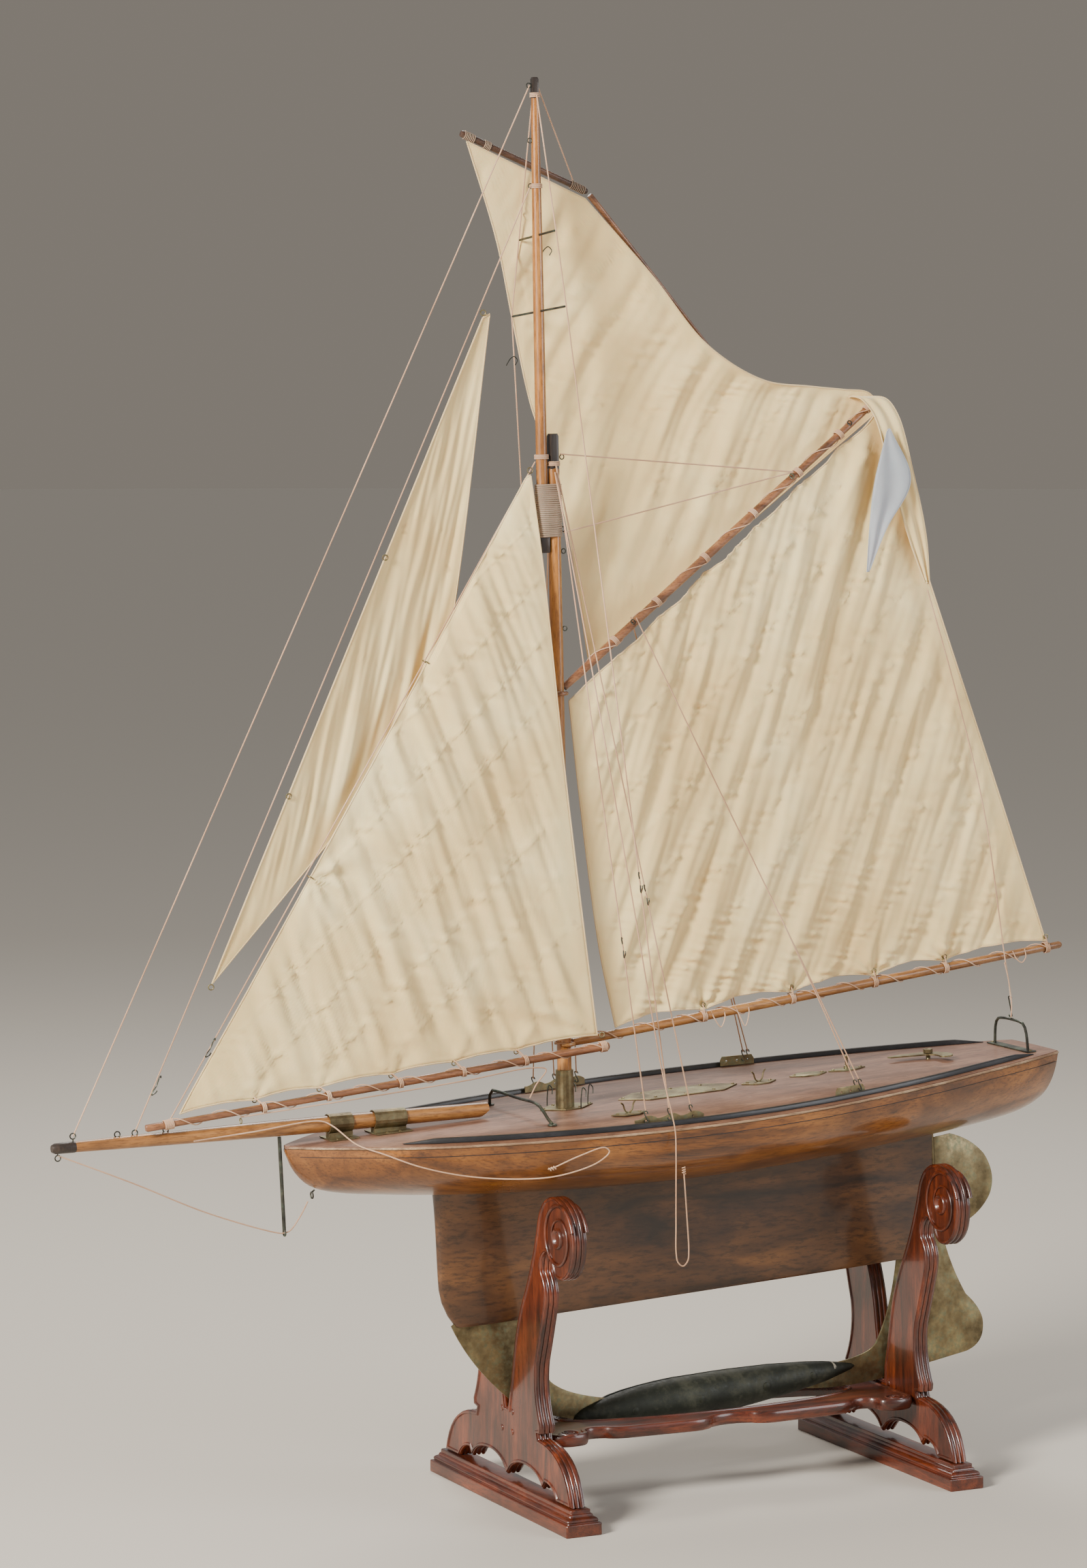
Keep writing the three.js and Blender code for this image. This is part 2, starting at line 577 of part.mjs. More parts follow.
// ---------------------------------------------------------------- horses
function horse(x, points, radius, footRadius) {
  const bent = cordAlong(points.map(([y, z]) => [x, y, z]), radius * 2, 16, 8);
  const feet = [points[0], points[points.length - 1]].map(([y]) => {
    const g = new THREE.CylinderGeometry(footRadius, footRadius, 1.6, 12).rotateX(Math.PI / 2);
    return g.translate(x, y, deckTop(x, y) + GAP + 0.8 + 0.25);
  });
  return join(bent, ...feet);
}
const jibHorseBend = [[90, -1.2], [89, 8], [85, 17], [70, 19], [0, 19], [-52, 19], [-66, 14], [-84, 3],
  [-94, -1.4]];
add('jib_horse', horse(-65, jibHorseBend, 2.1, 6), wire, boat);

const sternPlate = box(14, 104, 1.6, 676, 0, DECK_Z + GAP + 0.8);
const sternBow = cordAlong([[676, 42, 0.4], [676, 39, 24], [676, 34, 34], [676, 26, 37], [676, -26, 37],
  [676, -34, 34], [676, -39, 24], [676, -42, 0.4]], 4, 18, 8);
add('stern_horse', join(sternPlate, sternBow), wire, boat);

// ---------------------------------------------------------------- deck plates
// an upright plate with a scalloped top that the shrouds hook into
function shroudPlate(length, height, scallops, holes) {
  const s = new THREE.Shape();
  s.moveTo(-length / 2, 0);
  s.lineTo(length / 2, 0);
  s.lineTo(length / 2, height * 0.6);
  if (scallops) {
    const step = length / scallops;
    for (let i = 0; i < scallops; i++) {
      const x = length / 2 - i * step;
      s.quadraticCurveTo(x - step * 0.3, height * 1.15, x - step * 0.55, height * 0.9);
      s.quadraticCurveTo(x - step * 0.8, height * 0.62, x - step, height * 0.66);
    }
  } else {
    s.lineTo(length / 2 - 3, height);
    s.lineTo(3 - length / 2, height);
  }
  s.lineTo(-length / 2, height * 0.6);
  const g = new THREE.ExtrudeGeometry(s, { depth: 1.6, bevelEnabled: false, curveSegments: 6 })
    .translate(0, 0, -0.8).rotateX(Math.PI / 2);
  return cut(g, ...holes.map(
    (x) => new THREE.CylinderGeometry(1.4, 1.4, 10, 10).translate(x, 0, height * 0.5)));
}
function placePlate(name, geometry, x, y, side) {
  const mesh = add(name, geometry, brass, boat);
  mesh.position.set(x, side * y, deckTop(x, y) + 1);
  mesh.rotation.z = side * Math.atan2(halfBeam(x + 20) - halfBeam(x - 20), 40);
}
for (const [name, side] of [['port', -1], ['starboard', 1]]) {
  placePlate(`${name}_shroud_plate`, shroudPlate(94, 13, 3, [-32, 0, 32]), 66, SHROUD_PLATE_Y, side);
  placePlate(`${name}_aft_plate`, shroudPlate(48, 13, 0, [-15, 0, 15]), 336, AFT_PLATE_Y, side);
}
add('hatch_plate', lozenge(176, 54, 110, 165, 0), brass, boat);

// a lozenge plate with two bent wire horns to belay a cord on
function belayingPlate(x, y, length, width) {
  const z = deckTop(x, Math.max(Math.abs(y) - width / 2, 0)) + GAP + 1;
  const horns = cordAlong([[x - 12, y - 3, z + 15], [x - 8, y - 1, z + 12], [x - 5, y, z + 4],
    [x, y, z + 0.6], [x + 5, y, z + 4], [x + 8, y + 1, z + 12], [x + 12, y + 3, z + 15]], 2.2, 14, 8);
  return join(lozenge(length, width, 20, x, y), horns);
}
add('fore_belaying_plate', belayingPlate(46, -90, 50, 22), brass, boat);
add('aft_belaying_plate', belayingPlate(281, -8, 52, 26), brass, boat);

// ---------------------------------------------------------------- boom and gaff
// a spar with a pair of jaws that clasp the mast; drawn along +X from the mast's axis
function jawedSpar(z, end, profileOf, inner) {
  const axisX = z * Math.tan(RAKE);
  const length = Math.hypot(end[0] - axisX, end[1] - z);
  const lift = Math.atan2(end[1] - z, end[0] - axisX);
  const spar = new THREE.LatheGeometry(profileOf(length).map(([r, x]) => new THREE.Vector2(r, x)), 14)
    .rotateZ(-Math.PI / 2);
  spar.rotateY(-lift).translate(axisX, 0, z);
  const s = new THREE.Shape();
  s.absarc(0, 0, inner + 4.5, 0, 2 * Math.PI, false);
  const claw = new THREE.ExtrudeGeometry(s, { depth: 8, bevelEnabled: false, curveSegments: 12 })
    .translate(0, 0, -4).rotateY(RAKE).translate(axisX, 0, z);
  const bore = new THREE.CylinderGeometry(inner, inner, 200, 20).rotateX(Math.PI / 2).rotateY(RAKE)
    .translate(axisX, 0, z);
  const mouth = box(40, inner * 1.5, 40, axisX - 24, 0, z);
  return cut(join(spar, claw), bore, mouth);
}
const boomRadii = (l) => [[0, 4], [5.6, 4], [6.3, 200], [6.2, 480], [5, l - 3], [3, l], [0, l]];
add('boom', jawedSpar(BOOM_Z, BOOM_END, boomRadii, 10.2), sparWood, boat);
const gaffRadii = (l) => [[0, 4], [5.6, 4], [5.6, 300], [4.2, l - 3], [2.6, l], [0, l]];
add('gaff', jawedSpar(GAFF_Z, GAFF_PEAK, gaffRadii, 9.6), sparWood, boat);

// ---------------------------------------------------------------- sails
// a sail between a left edge and a right edge, each a list of points from foot to head
function sail(left, right, nu, nv, bulge = () => 0) {
  const curve = (pts) => new THREE.CatmullRomCurve3(pts.map((q) => v3(...q)), false, 'centripetal');
  const [a, b] = [curve(left), curve(right)];
  return shaped(nu, 1, nv, (u, w, v) => {
    const p = a.getPoint(v).lerp(b.getPoint(v), u);
    return [p.x, p.y + bulge(u, v) + (w - 0.5) * SAIL_CLOTH, p.z];
  });
}
const MAINSAIL = {
  luff: [[78, 0, 95], [60, 0, 200], [43, 0, 380], [33, 0, 524]],
  leech: [[736, 0, 139], [676, 0, 330], [588, 0, 600], [503, 0, 866]],
};
const belly = (depth) => (u, v) => -depth * Math.sin(Math.PI * u) * Math.sin(Math.PI * v);
add('mainsail', sail(MAINSAIL.luff, MAINSAIL.leech, 8, 8, belly(9)), canvas, boat);

const JIB = {
  luff: [[-532, -2, 56], [-268, -2, 438], [-12, -2, 816]],
  leech: [[40, -22, 92], [14, -19, 421], [-2, -14, 700], [-9, -5, 816]],
};
add('jib', sail(JIB.luff, JIB.leech, 5, 8, belly(6)), canvas, boat);

const FLYING_JIB = {
  luff: [[-478, 2, 213], [-268, 2, 620], [-60, 2, 1022]],
  leech: [[-150, 27, 516], [-118, 18, 640], [-52, 3, 1022]],
};
add('flying_jib', sail(FLYING_JIB.luff, FLYING_JIB.leech, 5, 8), canvas, boat);

const TOPSAIL = {
  luff: [[78, 28, 569], [66, 46, 738], [60, 74, 827], [44, 92, 900], [25, 96, 1012], [-8, 64, 1115],
    [-56, 37, 1240]],
  leech: [[524, 22, 872], [506, 22.4, 893], [470, 24, 899], [420, 26, 906], [350, 26, 918], [270, 27, 968],
    [196, 30, 1060], [106, 34, 1162]],
};

// the topsail's corner is drawn over the peak of the gaff and hangs down the leech
function topsailTail() {
  const left = [[560, -13, 640], [538, -14, 700], [512, -16, 790], [492, -15, 864], [478, -8, 886],
    [474, 6, 890], [476, 22.4, 889]];
  const right = [[567, -13, 637], [564, -14, 700], [546, -16, 790], [528, -15, 862], [516, -8, 884],
    [508, 6, 888], [500, 22.4, 887]];
  return sail(left, right, 2, 14);
}
add('topsail', join(sail(TOPSAIL.luff, TOPSAIL.leech, 10, 12), topsailTail()), canvas, boat);

const PENNANT = {
  left: [[467, -22, 660], [474, -24, 720], [484, -24, 780], [507, -22, 846]],
  right: [[471, -22, 660], [498, -24, 716], [538, -24, 778], [511, -22, 846]],
};
add('pennant', sail(PENNANT.left, PENNANT.right, 2, 6), bunting, boat);

// ---------------------------------------------------------------- topsail yard
const YARD = { fore: [-62, 41, 1250.5], knee: [112, 40, 1171], tip: [343, 46, 890] };
add('topsail_yard', bar(YARD.fore, YARD.knee, 4.4, 4, 12), sparWood, boat);
const below = YARD.knee.map((k, i) => k + (YARD.tip[i] - k) * 0.015);
add('topsail_club', bar(below, YARD.tip, 4, 1.8, 12), sparWood, boat);

// ---------------------------------------------------------------- jib club
const CLUB = { fore: [-581, -10, 45], aft: [52, -30, 78] };
add('jib_club', bar(CLUB.fore, CLUB.aft, 4.2, 5.4, 12), sparWood, boat);

// ---------------------------------------------------------------- standing rigging
const inBoat = (x, y, z) => v3(x, y, z).applyAxisAngle(v3(0, 1, 0), RAKE).toArray();
const MASTHEAD = inBoat(TOPMAST_OFFSET - 7, 0, 1306);
add('topmast_forestay', cordAlong([[-673, 0, 45], MASTHEAD], CORD), twine, boat);
const FLYING_JIB_HEAD = inBoat(TOPMAST_OFFSET - 8.2, 0, 1180);
add('flying_jib_stay', cordAlong([[-592, 0, 40], FLYING_JIB_HEAD], CORD), twine, boat);
const JIB_HEAD = inBoat(TOPMAST_OFFSET - 9, 0, 832);
add('jib_stay', cordAlong([[-551, 0, 41], JIB_HEAD], CORD), twine, boat);
add('bobstay', cordAlong([[-694, 0, 24], [-600, 0, -22], [-500, 0, -74], [-408, 0, -111], [-400, 0, -112],
  [-392, 0, -110], [-376, 0, -92], [-366, 0, -76]], CORD, 16), twine, boat);

// a cord collar round a mast, with the cords that leave it on both sides
function collar(x, z, radius) {
  return new THREE.TorusGeometry(radius, CORD / 2, 6, 12).translate(x, 0, z).rotateY(RAKE);
}
const plateHook = (x, y) => [x, y, deckTop(x, Math.abs(y)) + 18];

function lowerShrouds() {
  const [z, radius] = [829, 7.7];
  const legs = [-1, 1].flatMap((side) => [98, 34].map((x) => cordAlong(
    [inBoat(0, side * radius, z), plateHook(x, side * (SHROUD_PLATE_Y - 1.5))], CORD)));
  return join(collar(0, z, radius), ...legs);
}
add('lower_shrouds', lowerShrouds(), twine, boat);

// the topmast shrouds run over the ends of both spreaders
function topmastShrouds() {
  const [z, radius] = [1294, 6];
  const pieces = [-1, 1].flatMap((side) => {
    const head = inBoat(TOPMAST_OFFSET, side * radius, z);
    const upper = inBoat(...spreaderEnd(UPPER_SPREADER, side, 1.6));
    const lower = inBoat(...spreaderEnd(LOWER_SPREADER, side, 1.6));
    const knots = [upper, lower].map((p) => new THREE.SphereGeometry(1.2, 6, 4).translate(...p));
    return [cordAlong([head, upper], CORD), cordAlong([upper, lower], CORD),
      cordAlong([lower, plateHook(66, side * (SHROUD_PLATE_Y + 0.5))], CORD), ...knots];
  });
  return join(collar(TOPMAST_OFFSET, z, radius), ...pieces);
}
add('topmast_shrouds', topmastShrouds(), twine, boat);

// ---------------------------------------------------------------- running rigging
const VANG_ON_GAFF = [131, 0, 628];
function vang(side) {
  const start = [VANG_ON_GAFF[0], side * 7.5, VANG_ON_GAFF[2] - 4];
  const end = [352, side * (AFT_PLATE_Y - 2), deckTop(352, AFT_PLATE_Y) + 18];
  return cordAlong([start, end], CORD);
}
add('port_vang', vang(-1), twine, boat);
add('starboard_vang', vang(1), twine, boat);
// one cord holds the gaff up: from the masthead to an eye on the gaff and back to the mast
const HALYARD_EYE = [371, -7.5, 797];
const halyardEnds = [inBoat(8.2, -4, 841), inBoat(11.6, -4, 741)];
const halyardParts = halyardEnds.map((p) => cordAlong([p, HALYARD_EYE], CORD));
const halyardKnot = new THREE.SphereGeometry(1.4, 6, 4).translate(...HALYARD_EYE);
add('gaff_halyard', join(...halyardParts, halyardKnot), twine, boat);
add('topsail_halyard', cordAlong([inBoat(TOPMAST_OFFSET + 6, 4, 1306), [93, 40, 1186]], CORD), twine, boat);
const topsailSheet = [[564, -13, 629], [600, -12, 500], [640, -10, 330], [664, -10, 130], [675, -6, 62],
  [676, -2, 41]];
add('topsail_sheet', cordAlong(topsailSheet, CORD, 16), twine, boat);
const jibSheet = [[-457, -16, 45], [-300, -22, 50], [-150, -26, 56], [-60, -30, 62], [-40, -32, 58],
  [-55, -32, 40], [-65, -32, 24]];
add('jib_sheet', cordAlong(jibSheet, CORD, 20), twine, boat);

// ---------------------------------------------------------------- loose cords
const runner = [[22, -12, 818], [34, -70, 560], [46, -130, 270], [55, -172, 60], [57, -189, 10],
  [57, -196, -12], [56, -197, -40], [54, -197, -80], [52, -196, -130], [51, -195, -166],
  [53, -195, -178], [60, -195, -184], [67, -195, -178], [69, -195, -166], [68, -196, -120],
  [66, -197, -62]];
add('loose_runner', cordAlong(runner, CORD, 44), twine, boat);
const downhaul = [[-520, -14, 22], [-440, -14, 24], [-348, -13, 26], [-336, -18, 20], [-322, -66, 0],
  [-300, -92, -10], [-260, -118, -28], [-210, -142, -42], [-150, -164, -50], [-100, -178, -50],
  [-50, -188, -38], [-34, -190, -26], [-40, -190, -20], [-70, -186, -26], [-110, -178, -40]];
add('loose_downhaul', cordAlong(downhaul, CORD, 44), twine, boat);

export default yacht;
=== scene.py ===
# %% [markdown]
# A gaff cutter pond yacht in her carved mahogany stand.
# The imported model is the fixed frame: it says where every body, joint and part is. The new
# pieces are drawn in millimetres in the boat's own directions, as a model maker would measure
# them on the bench, and one matrix carries them to their place in the world, in metres.

# %% Load the frame and keep its box
import json
import math

import bmesh
import bpy
from mathutils import Matrix, Vector, noise


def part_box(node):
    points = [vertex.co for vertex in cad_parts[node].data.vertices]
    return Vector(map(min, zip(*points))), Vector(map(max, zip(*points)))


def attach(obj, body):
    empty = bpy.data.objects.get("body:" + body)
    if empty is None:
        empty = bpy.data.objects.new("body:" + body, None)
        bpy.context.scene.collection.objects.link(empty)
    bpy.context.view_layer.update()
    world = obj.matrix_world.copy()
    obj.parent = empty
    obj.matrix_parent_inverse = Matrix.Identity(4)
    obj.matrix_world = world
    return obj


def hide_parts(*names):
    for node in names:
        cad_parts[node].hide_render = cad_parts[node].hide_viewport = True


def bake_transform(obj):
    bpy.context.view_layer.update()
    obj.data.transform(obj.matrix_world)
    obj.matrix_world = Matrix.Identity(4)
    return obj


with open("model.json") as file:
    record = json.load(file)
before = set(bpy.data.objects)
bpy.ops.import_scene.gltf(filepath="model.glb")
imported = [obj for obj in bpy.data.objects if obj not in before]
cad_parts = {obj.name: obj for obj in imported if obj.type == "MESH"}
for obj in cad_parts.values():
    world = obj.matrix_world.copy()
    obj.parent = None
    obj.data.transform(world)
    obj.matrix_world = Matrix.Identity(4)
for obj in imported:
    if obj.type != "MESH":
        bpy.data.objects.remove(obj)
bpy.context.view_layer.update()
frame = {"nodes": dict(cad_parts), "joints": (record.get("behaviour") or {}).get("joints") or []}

# %% The boat's own directions
# x runs aft, y to starboard, z up; the origin is on the deck at the mast.
MM = 0.001
joints = {joint["name"]: joint for joint in frame["joints"]}
DECK_POINT = Vector(joints["boom_swing"]["pos_m"])
BOAT_UP = Vector(joints["rudder_turn"]["axis"]).normalized()
MAST_UP = Vector(joints["boom_swing"]["axis"]).normalized()
STARBOARD = Vector((0, 1, 0))


def directions(up, origin):
    turn = Matrix((STARBOARD.cross(up), STARBOARD, up)).transposed().to_4x4()
    return Matrix.Translation(origin) @ turn @ Matrix.Scale(MM, 4)


BOAT = directions(BOAT_UP, DECK_POINT)
RIG = directions(MAST_UP, DECK_POINT)
fore_bar, aft_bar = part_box("fore_foot_bar"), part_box("aft_foot_bar")
FORE_X, AFT_X = [(Vector(b[0]).x + Vector(b[1]).x) / 2 for b in (fore_bar, aft_bar)]
STAND = Matrix.Translation(((FORE_X + AFT_X) / 2, 0, 0)) @ Matrix.Scale(MM, 4)
FRAME_X = (AFT_X - FORE_X) / 2 / MM
IN_BOAT = BOAT.inverted() @ RIG                # from the mast's directions to the boat's


def in_boat(x, y, z):
    return IN_BOAT @ Vector((x, y, z))


print("mast foot at", [round(c, 3) for c in DECK_POINT], "stand half spacing", round(FRAME_X, 1))

# %% [markdown]
# The camera looks at the port bow from a little above the middle of the sails. It comes first,
# because the loose cords are judged by how far they spread outside its view. A long lens keeps
# the hull and the rig in their real proportions.

# %% Camera
camera_data = bpy.data.cameras.new("portrait_lens")
camera_data.lens = 106.3
camera_data.sensor_width = 36
camera = bpy.data.objects.new("camera", camera_data)
camera.location = (-2.664, -5.2995, 1.4374)
camera.rotation_euler = (math.radians(90 - 4.905), 0, math.radians(-26.2))
bpy.context.scene.collection.objects.link(camera)
bpy.context.scene.camera = camera
print("camera stands", round(camera.location.length, 2), "m from the stand")

# %% [markdown]
# Every finish on the yacht is a small node tree. Wood, metal and cloth differ, but each starts
# from Object coordinates, which run in metres through the whole model, so the grain keeps one
# scale from piece to piece. These helpers add a node and link its inputs in one call.

# %% Node helpers
def node(material, kind, inputs=None, **settings):
    made = material.node_tree.nodes.new(kind)
    for name, value in settings.items():
        setattr(made, name, value)
    for key, value in (inputs or {}).items():
        if isinstance(value, bpy.types.NodeSocket):
            material.node_tree.links.new(value, made.inputs[key])
        else:
            made.inputs[key].default_value = value
    return made


def ramp(material, factor, stops):
    made = node(material, "ShaderNodeValToRGB", {"Fac": factor})
    elements = made.color_ramp.elements
    while len(elements) < len(stops):
        elements.new(0.5)
    for element, (place, colour) in zip(elements, stops):
        element.position = place
        element.color = (*colour, 1)
    return made.outputs["Color"]


def levels(material, factor, low, high, start=0.0, end=1.0):
    made = node(material, "ShaderNodeMapRange", {"Value": factor, "From Min": start, "From Max": end,
                                                 "To Min": low, "To Max": high})
    return made.outputs["Result"]


def mix(material, factor, first, second, blend="MIX"):
    made = node(material, "ShaderNodeMix", data_type="RGBA", blend_type=blend)
    for index, value in ((0, factor), (6, first), (7, second)):
        if isinstance(value, bpy.types.NodeSocket):
            material.node_tree.links.new(value, made.inputs[index])
        else:
            made.inputs[index].default_value = value if index == 0 else (*value, 1)
    return made.outputs[2]


def blank(name, metallic=0.0, coat=0.0, coat_roughness=0.15, sheen=0.0):
    material = bpy.data.materials.new(name)
    material.use_nodes = True
    shader = material.node_tree.nodes["Principled BSDF"]
    shader.inputs["Metallic"].default_value = metallic
    shader.inputs["Coat Weight"].default_value = coat
    shader.inputs["Coat Roughness"].default_value = coat_roughness
    shader.inputs["Sheen Weight"].default_value = sheen
    return material, shader


def surface(material, shader, colour, roughness, height, distance, strength=1.0):
    links = material.node_tree.links
    links.new(colour, shader.inputs["Base Color"])
    links.new(roughness, shader.inputs["Roughness"])
    bump = node(material, "ShaderNodeBump", {"Height": height, "Strength": strength, "Distance": distance})
    links.new(bump.outputs["Normal"], shader.inputs["Normal"])


def stretched(material, scale, turn=(0, 0, 0)):
    place = node(material, "ShaderNodeTexCoord")
    mapping = node(material, "ShaderNodeMapping", {"Vector": place.outputs["Object"], "Rotation": turn,
                                                   "Scale": scale})
    return mapping.outputs["Vector"]


def cloud(material, vector, scale, detail=6.0, distortion=0.0, roughness=0.55):
    made = node(material, "ShaderNodeTexNoise", {"Vector": vector, "Scale": scale, "Detail": detail,
                                                 "Distortion": distortion, "Roughness": roughness})
    return made.outputs["Fac"]


print("node helpers ready")

# %% [markdown]
# Varnished wood has three scales: broad figure, fine pores that run with the grain, and the
# rubbed varnish over them. Stretching a noise along one axis makes the grain, so each wood
# says which way its grain runs. The varnish is the shader's own coat.

# %% Woods
ALONG_X = (1.0, 9.0, 9.0)
ALONG_Y = (9.0, 1.0, 9.0)
ALONG_Z = (9.0, 9.0, 1.0)


def wood(name, dark, middle, light, grain, roughness, coat, turn=(0, 0, 0), wear=None):
    material, shader = blank(name, coat=coat, coat_roughness=0.12)
    vector = stretched(material, grain, turn)
    figure = cloud(material, vector, 5.5, detail=8, distortion=0.9)
    pores = cloud(material, vector, 62.0, detail=4, roughness=0.7)
    stain = cloud(material, stretched(material, (1, 1, 1)), 9.0, detail=5)
    colour = ramp(material, figure, [(0.30, dark), (0.5, middle), (0.72, light)])
    colour = mix(material, levels(material, pores, 0.55, 0.0, 0.36, 0.52), colour, dark, "MULTIPLY")
    colour = mix(material, levels(material, stain, 0.6, 0.0, 0.34, 0.52), colour, dark)
    if wear:
        scratches = cloud(material, stretched(material, (2, 2, 2)), 34.0, detail=9, roughness=0.75)
        colour = mix(material, levels(material, scratches, 0.0, 0.8, 0.63, 0.7), colour, wear)
    gloss = levels(material, stain, roughness + 0.14, roughness - 0.06, 0.3, 0.7)
    surface(material, shader, colour, gloss, pores, 0.0004, 0.35)
    return material


MAHOGANY_TONES = ((0.022, 0.005, 0.002), (0.105, 0.019, 0.006), (0.22, 0.045, 0.013))
mahogany = wood("polished_mahogany", *MAHOGANY_TONES, ALONG_Z, 0.3, 0.55)
mahogany_long = wood("polished_mahogany_long", *MAHOGANY_TONES, ALONG_Y, 0.28, 0.55)
hull_varnish = wood("hull_varnish", (0.075, 0.024, 0.005), (0.24, 0.082, 0.013), (0.36, 0.14, 0.027),
                    (0.7, 6, 6), 0.3, 0.6, wear=(0.16, 0.08, 0.035))
# The fin takes a much darker copy of the hull's varnish: painted shade under the canoe body.
painted_shade_fin_varnish = wood("painted_shade_fin_varnish", (0.02, 0.009, 0.004), (0.085, 0.033, 0.010), (0.18, 0.074, 0.02),
                   (0.8, 3.5, 3.5), 0.38, 0.4, wear=(0.06, 0.035, 0.02))
deck_paint = wood("deck_boards", (0.12, 0.052, 0.028), (0.23, 0.112, 0.066), (0.31, 0.17, 0.105),
                  (0.7, 5.0, 5.0), 0.5, 0.12, wear=(0.4, 0.28, 0.2))
rail_black = wood("black_rail", (0.006, 0.006, 0.007), (0.012, 0.012, 0.015), (0.03, 0.03, 0.035),
                  ALONG_X, 0.42, 0.2)
mast_varnish = wood("mast_varnish", (0.15, 0.055, 0.012), (0.40, 0.155, 0.03), (0.54, 0.25, 0.062),
                    ALONG_Z, 0.33, 0.5)
spar_varnish = wood("spar_varnish", (0.13, 0.052, 0.016), (0.34, 0.145, 0.038), (0.48, 0.235, 0.07),
                    ALONG_X, 0.36, 0.4)
gaff_varnish = wood("gaff_varnish", (0.10, 0.04, 0.016), (0.26, 0.105, 0.045), (0.38, 0.18, 0.08),
                    ALONG_X, 0.38, 0.35, turn=(0, 0.6, 0))
dark_spar = wood("dark_spar", (0.012, 0.008, 0.006), (0.028, 0.017, 0.012), (0.055, 0.034, 0.022),
                 ALONG_Z, 0.45, 0.25)
worn_edge = wood("worn_edge", (0.16, 0.085, 0.045), (0.34, 0.22, 0.13), (0.50, 0.37, 0.24),
                 (1.5, 12, 12), 0.6, 0.0)
print("woods:", [m.name for m in bpy.data.materials if m.name.split("_")[0] in ("polished", "hull", "deck")])

# %% [markdown]
# Old brass is brown where hands don't reach, yellow on its edges and green in the corners.
# One noise drives the colour from brown to yellow, a second one lays the green on, and the same
# noises roughen it. The painted lead and the wire are the same idea in other colours.

# %% Metals
def metal(name, dark, middle, light, bloom, bloom_amount, roughness, metallic):
    material, shader = blank(name, metallic=metallic)
    vector = stretched(material, (1, 1, 1))
    tarnish = cloud(material, vector, 26.0, detail=9, roughness=0.65)
    speck = cloud(material, vector, 170.0, detail=5, roughness=0.7)
    colour = ramp(material, tarnish, [(0.34, dark), (0.5, middle), (0.68, light)])
    spots = node(material, "ShaderNodeMath", {0: tarnish, 1: speck}, operation="MULTIPLY").outputs[0]
    colour = mix(material, levels(material, spots, 0.0, bloom_amount, 0.24, 0.34), colour, bloom)
    gloss = levels(material, speck, roughness - 0.1, roughness + 0.2, 0.3, 0.7)
    surface(material, shader, colour, gloss, speck, 0.0003, 0.5)
    return material


aged_brass = metal("aged_brass", (0.11, 0.085, 0.045), (0.23, 0.18, 0.095), (0.42, 0.34, 0.17),
                   (0.10, 0.20, 0.15), 0.35, 0.40, 0.85)
dark_wire = metal("dark_wire", (0.03, 0.03, 0.027), (0.075, 0.075, 0.062), (0.2, 0.19, 0.14),
                  (0.06, 0.12, 0.09), 0.5, 0.4, 0.85)
painted_lead = metal("painted_lead", (0.005, 0.007, 0.003), (0.011, 0.014, 0.007), (0.03, 0.033, 0.018),
                     (0.16, 0.15, 0.11), 0.12, 0.55, 0.1)
chipped_white = metal("chipped_white", (0.25, 0.23, 0.18), (0.5, 0.48, 0.4), (0.68, 0.66, 0.58),
                      (0.05, 0.06, 0.05), 0.9, 0.6, 0.0)
print("metals made")

# %% [markdown]
# The sails are fine cotton gone the colour of tea. The weave is two sets of bands at right
# angles, about a millimetre apart, which only the bump reads. Broad clouds vary the tea colour,
# and a few small rust marks sit where fittings lay against the cloth.

# %% Cloth and cord
def cotton(name, shade, middle, light, weave=1900.0, rust=0.5):
    material, shader = blank(name, sheen=0.15)
    vector = stretched(material, (1, 1, 1))
    wide = cloud(material, vector, 4.5, detail=7)
    fine = cloud(material, stretched(material, (1, 1, 0.35)), 46.0, detail=6, roughness=0.6)
    warp = node(material, "ShaderNodeTexWave", {"Vector": vector, "Scale": weave / 6.28, "Distortion": 0.6},
                bands_direction="X").outputs["Fac"]
    weft = node(material, "ShaderNodeTexWave", {"Vector": vector, "Scale": weave / 6.28, "Distortion": 0.6},
                bands_direction="Z").outputs["Fac"]
    cloth = node(material, "ShaderNodeMath", {0: warp, 1: weft}, operation="ADD").outputs[0]
    colour = ramp(material, wide, [(0.32, shade), (0.52, middle), (0.70, light)])
    colour = mix(material, levels(material, fine, 0.28, 0.0, 0.32, 0.55), colour, shade)
    marks = cloud(material, vector, 21.0, detail=3)
    colour = mix(material, levels(material, marks, 0.0, rust, 0.735, 0.80), colour, (0.30, 0.15, 0.05))
    surface(material, shader, colour, levels(material, fine, 0.92, 0.72), cloth, 0.00012, 0.4)
    shader.inputs["Subsurface Weight"].default_value = 0.12
    shader.inputs["Subsurface Scale"].default_value = 0.004
    return material


canvas = cotton("sail_cotton", (0.74, 0.53, 0.23), (0.85, 0.65, 0.32), (0.93, 0.77, 0.43))
canvas_hem = cotton("sail_hem", (0.60, 0.44, 0.22), (0.70, 0.53, 0.29), (0.80, 0.64, 0.38))
bunting = cotton("pennant_bunting", (0.30, 0.33, 0.37), (0.42, 0.46, 0.50), (0.52, 0.56, 0.60), rust=0.2)
cord_line = cotton("laid_cord", (0.33, 0.19, 0.11), (0.52, 0.33, 0.21), (0.66, 0.47, 0.33), 2600.0, 0.2)
whipping = cotton("whipping_twine", (0.16, 0.11, 0.075), (0.30, 0.215, 0.15), (0.42, 0.32, 0.23), 2600.0, 0.4)
print("cloth and cord made")

FINISHES = {"mahogany": mahogany, "hull_wood": hull_varnish, "deck_wood": deck_paint,
            "black_wood": rail_black, "spar_wood": spar_varnish, "dark_spar_wood": dark_spar,
            "brass": aged_brass, "dark_wire": dark_wire, "painted_lead": painted_lead,
            "canvas": canvas, "bunting": bunting, "cord": cord_line, "whipping_twine": whipping}
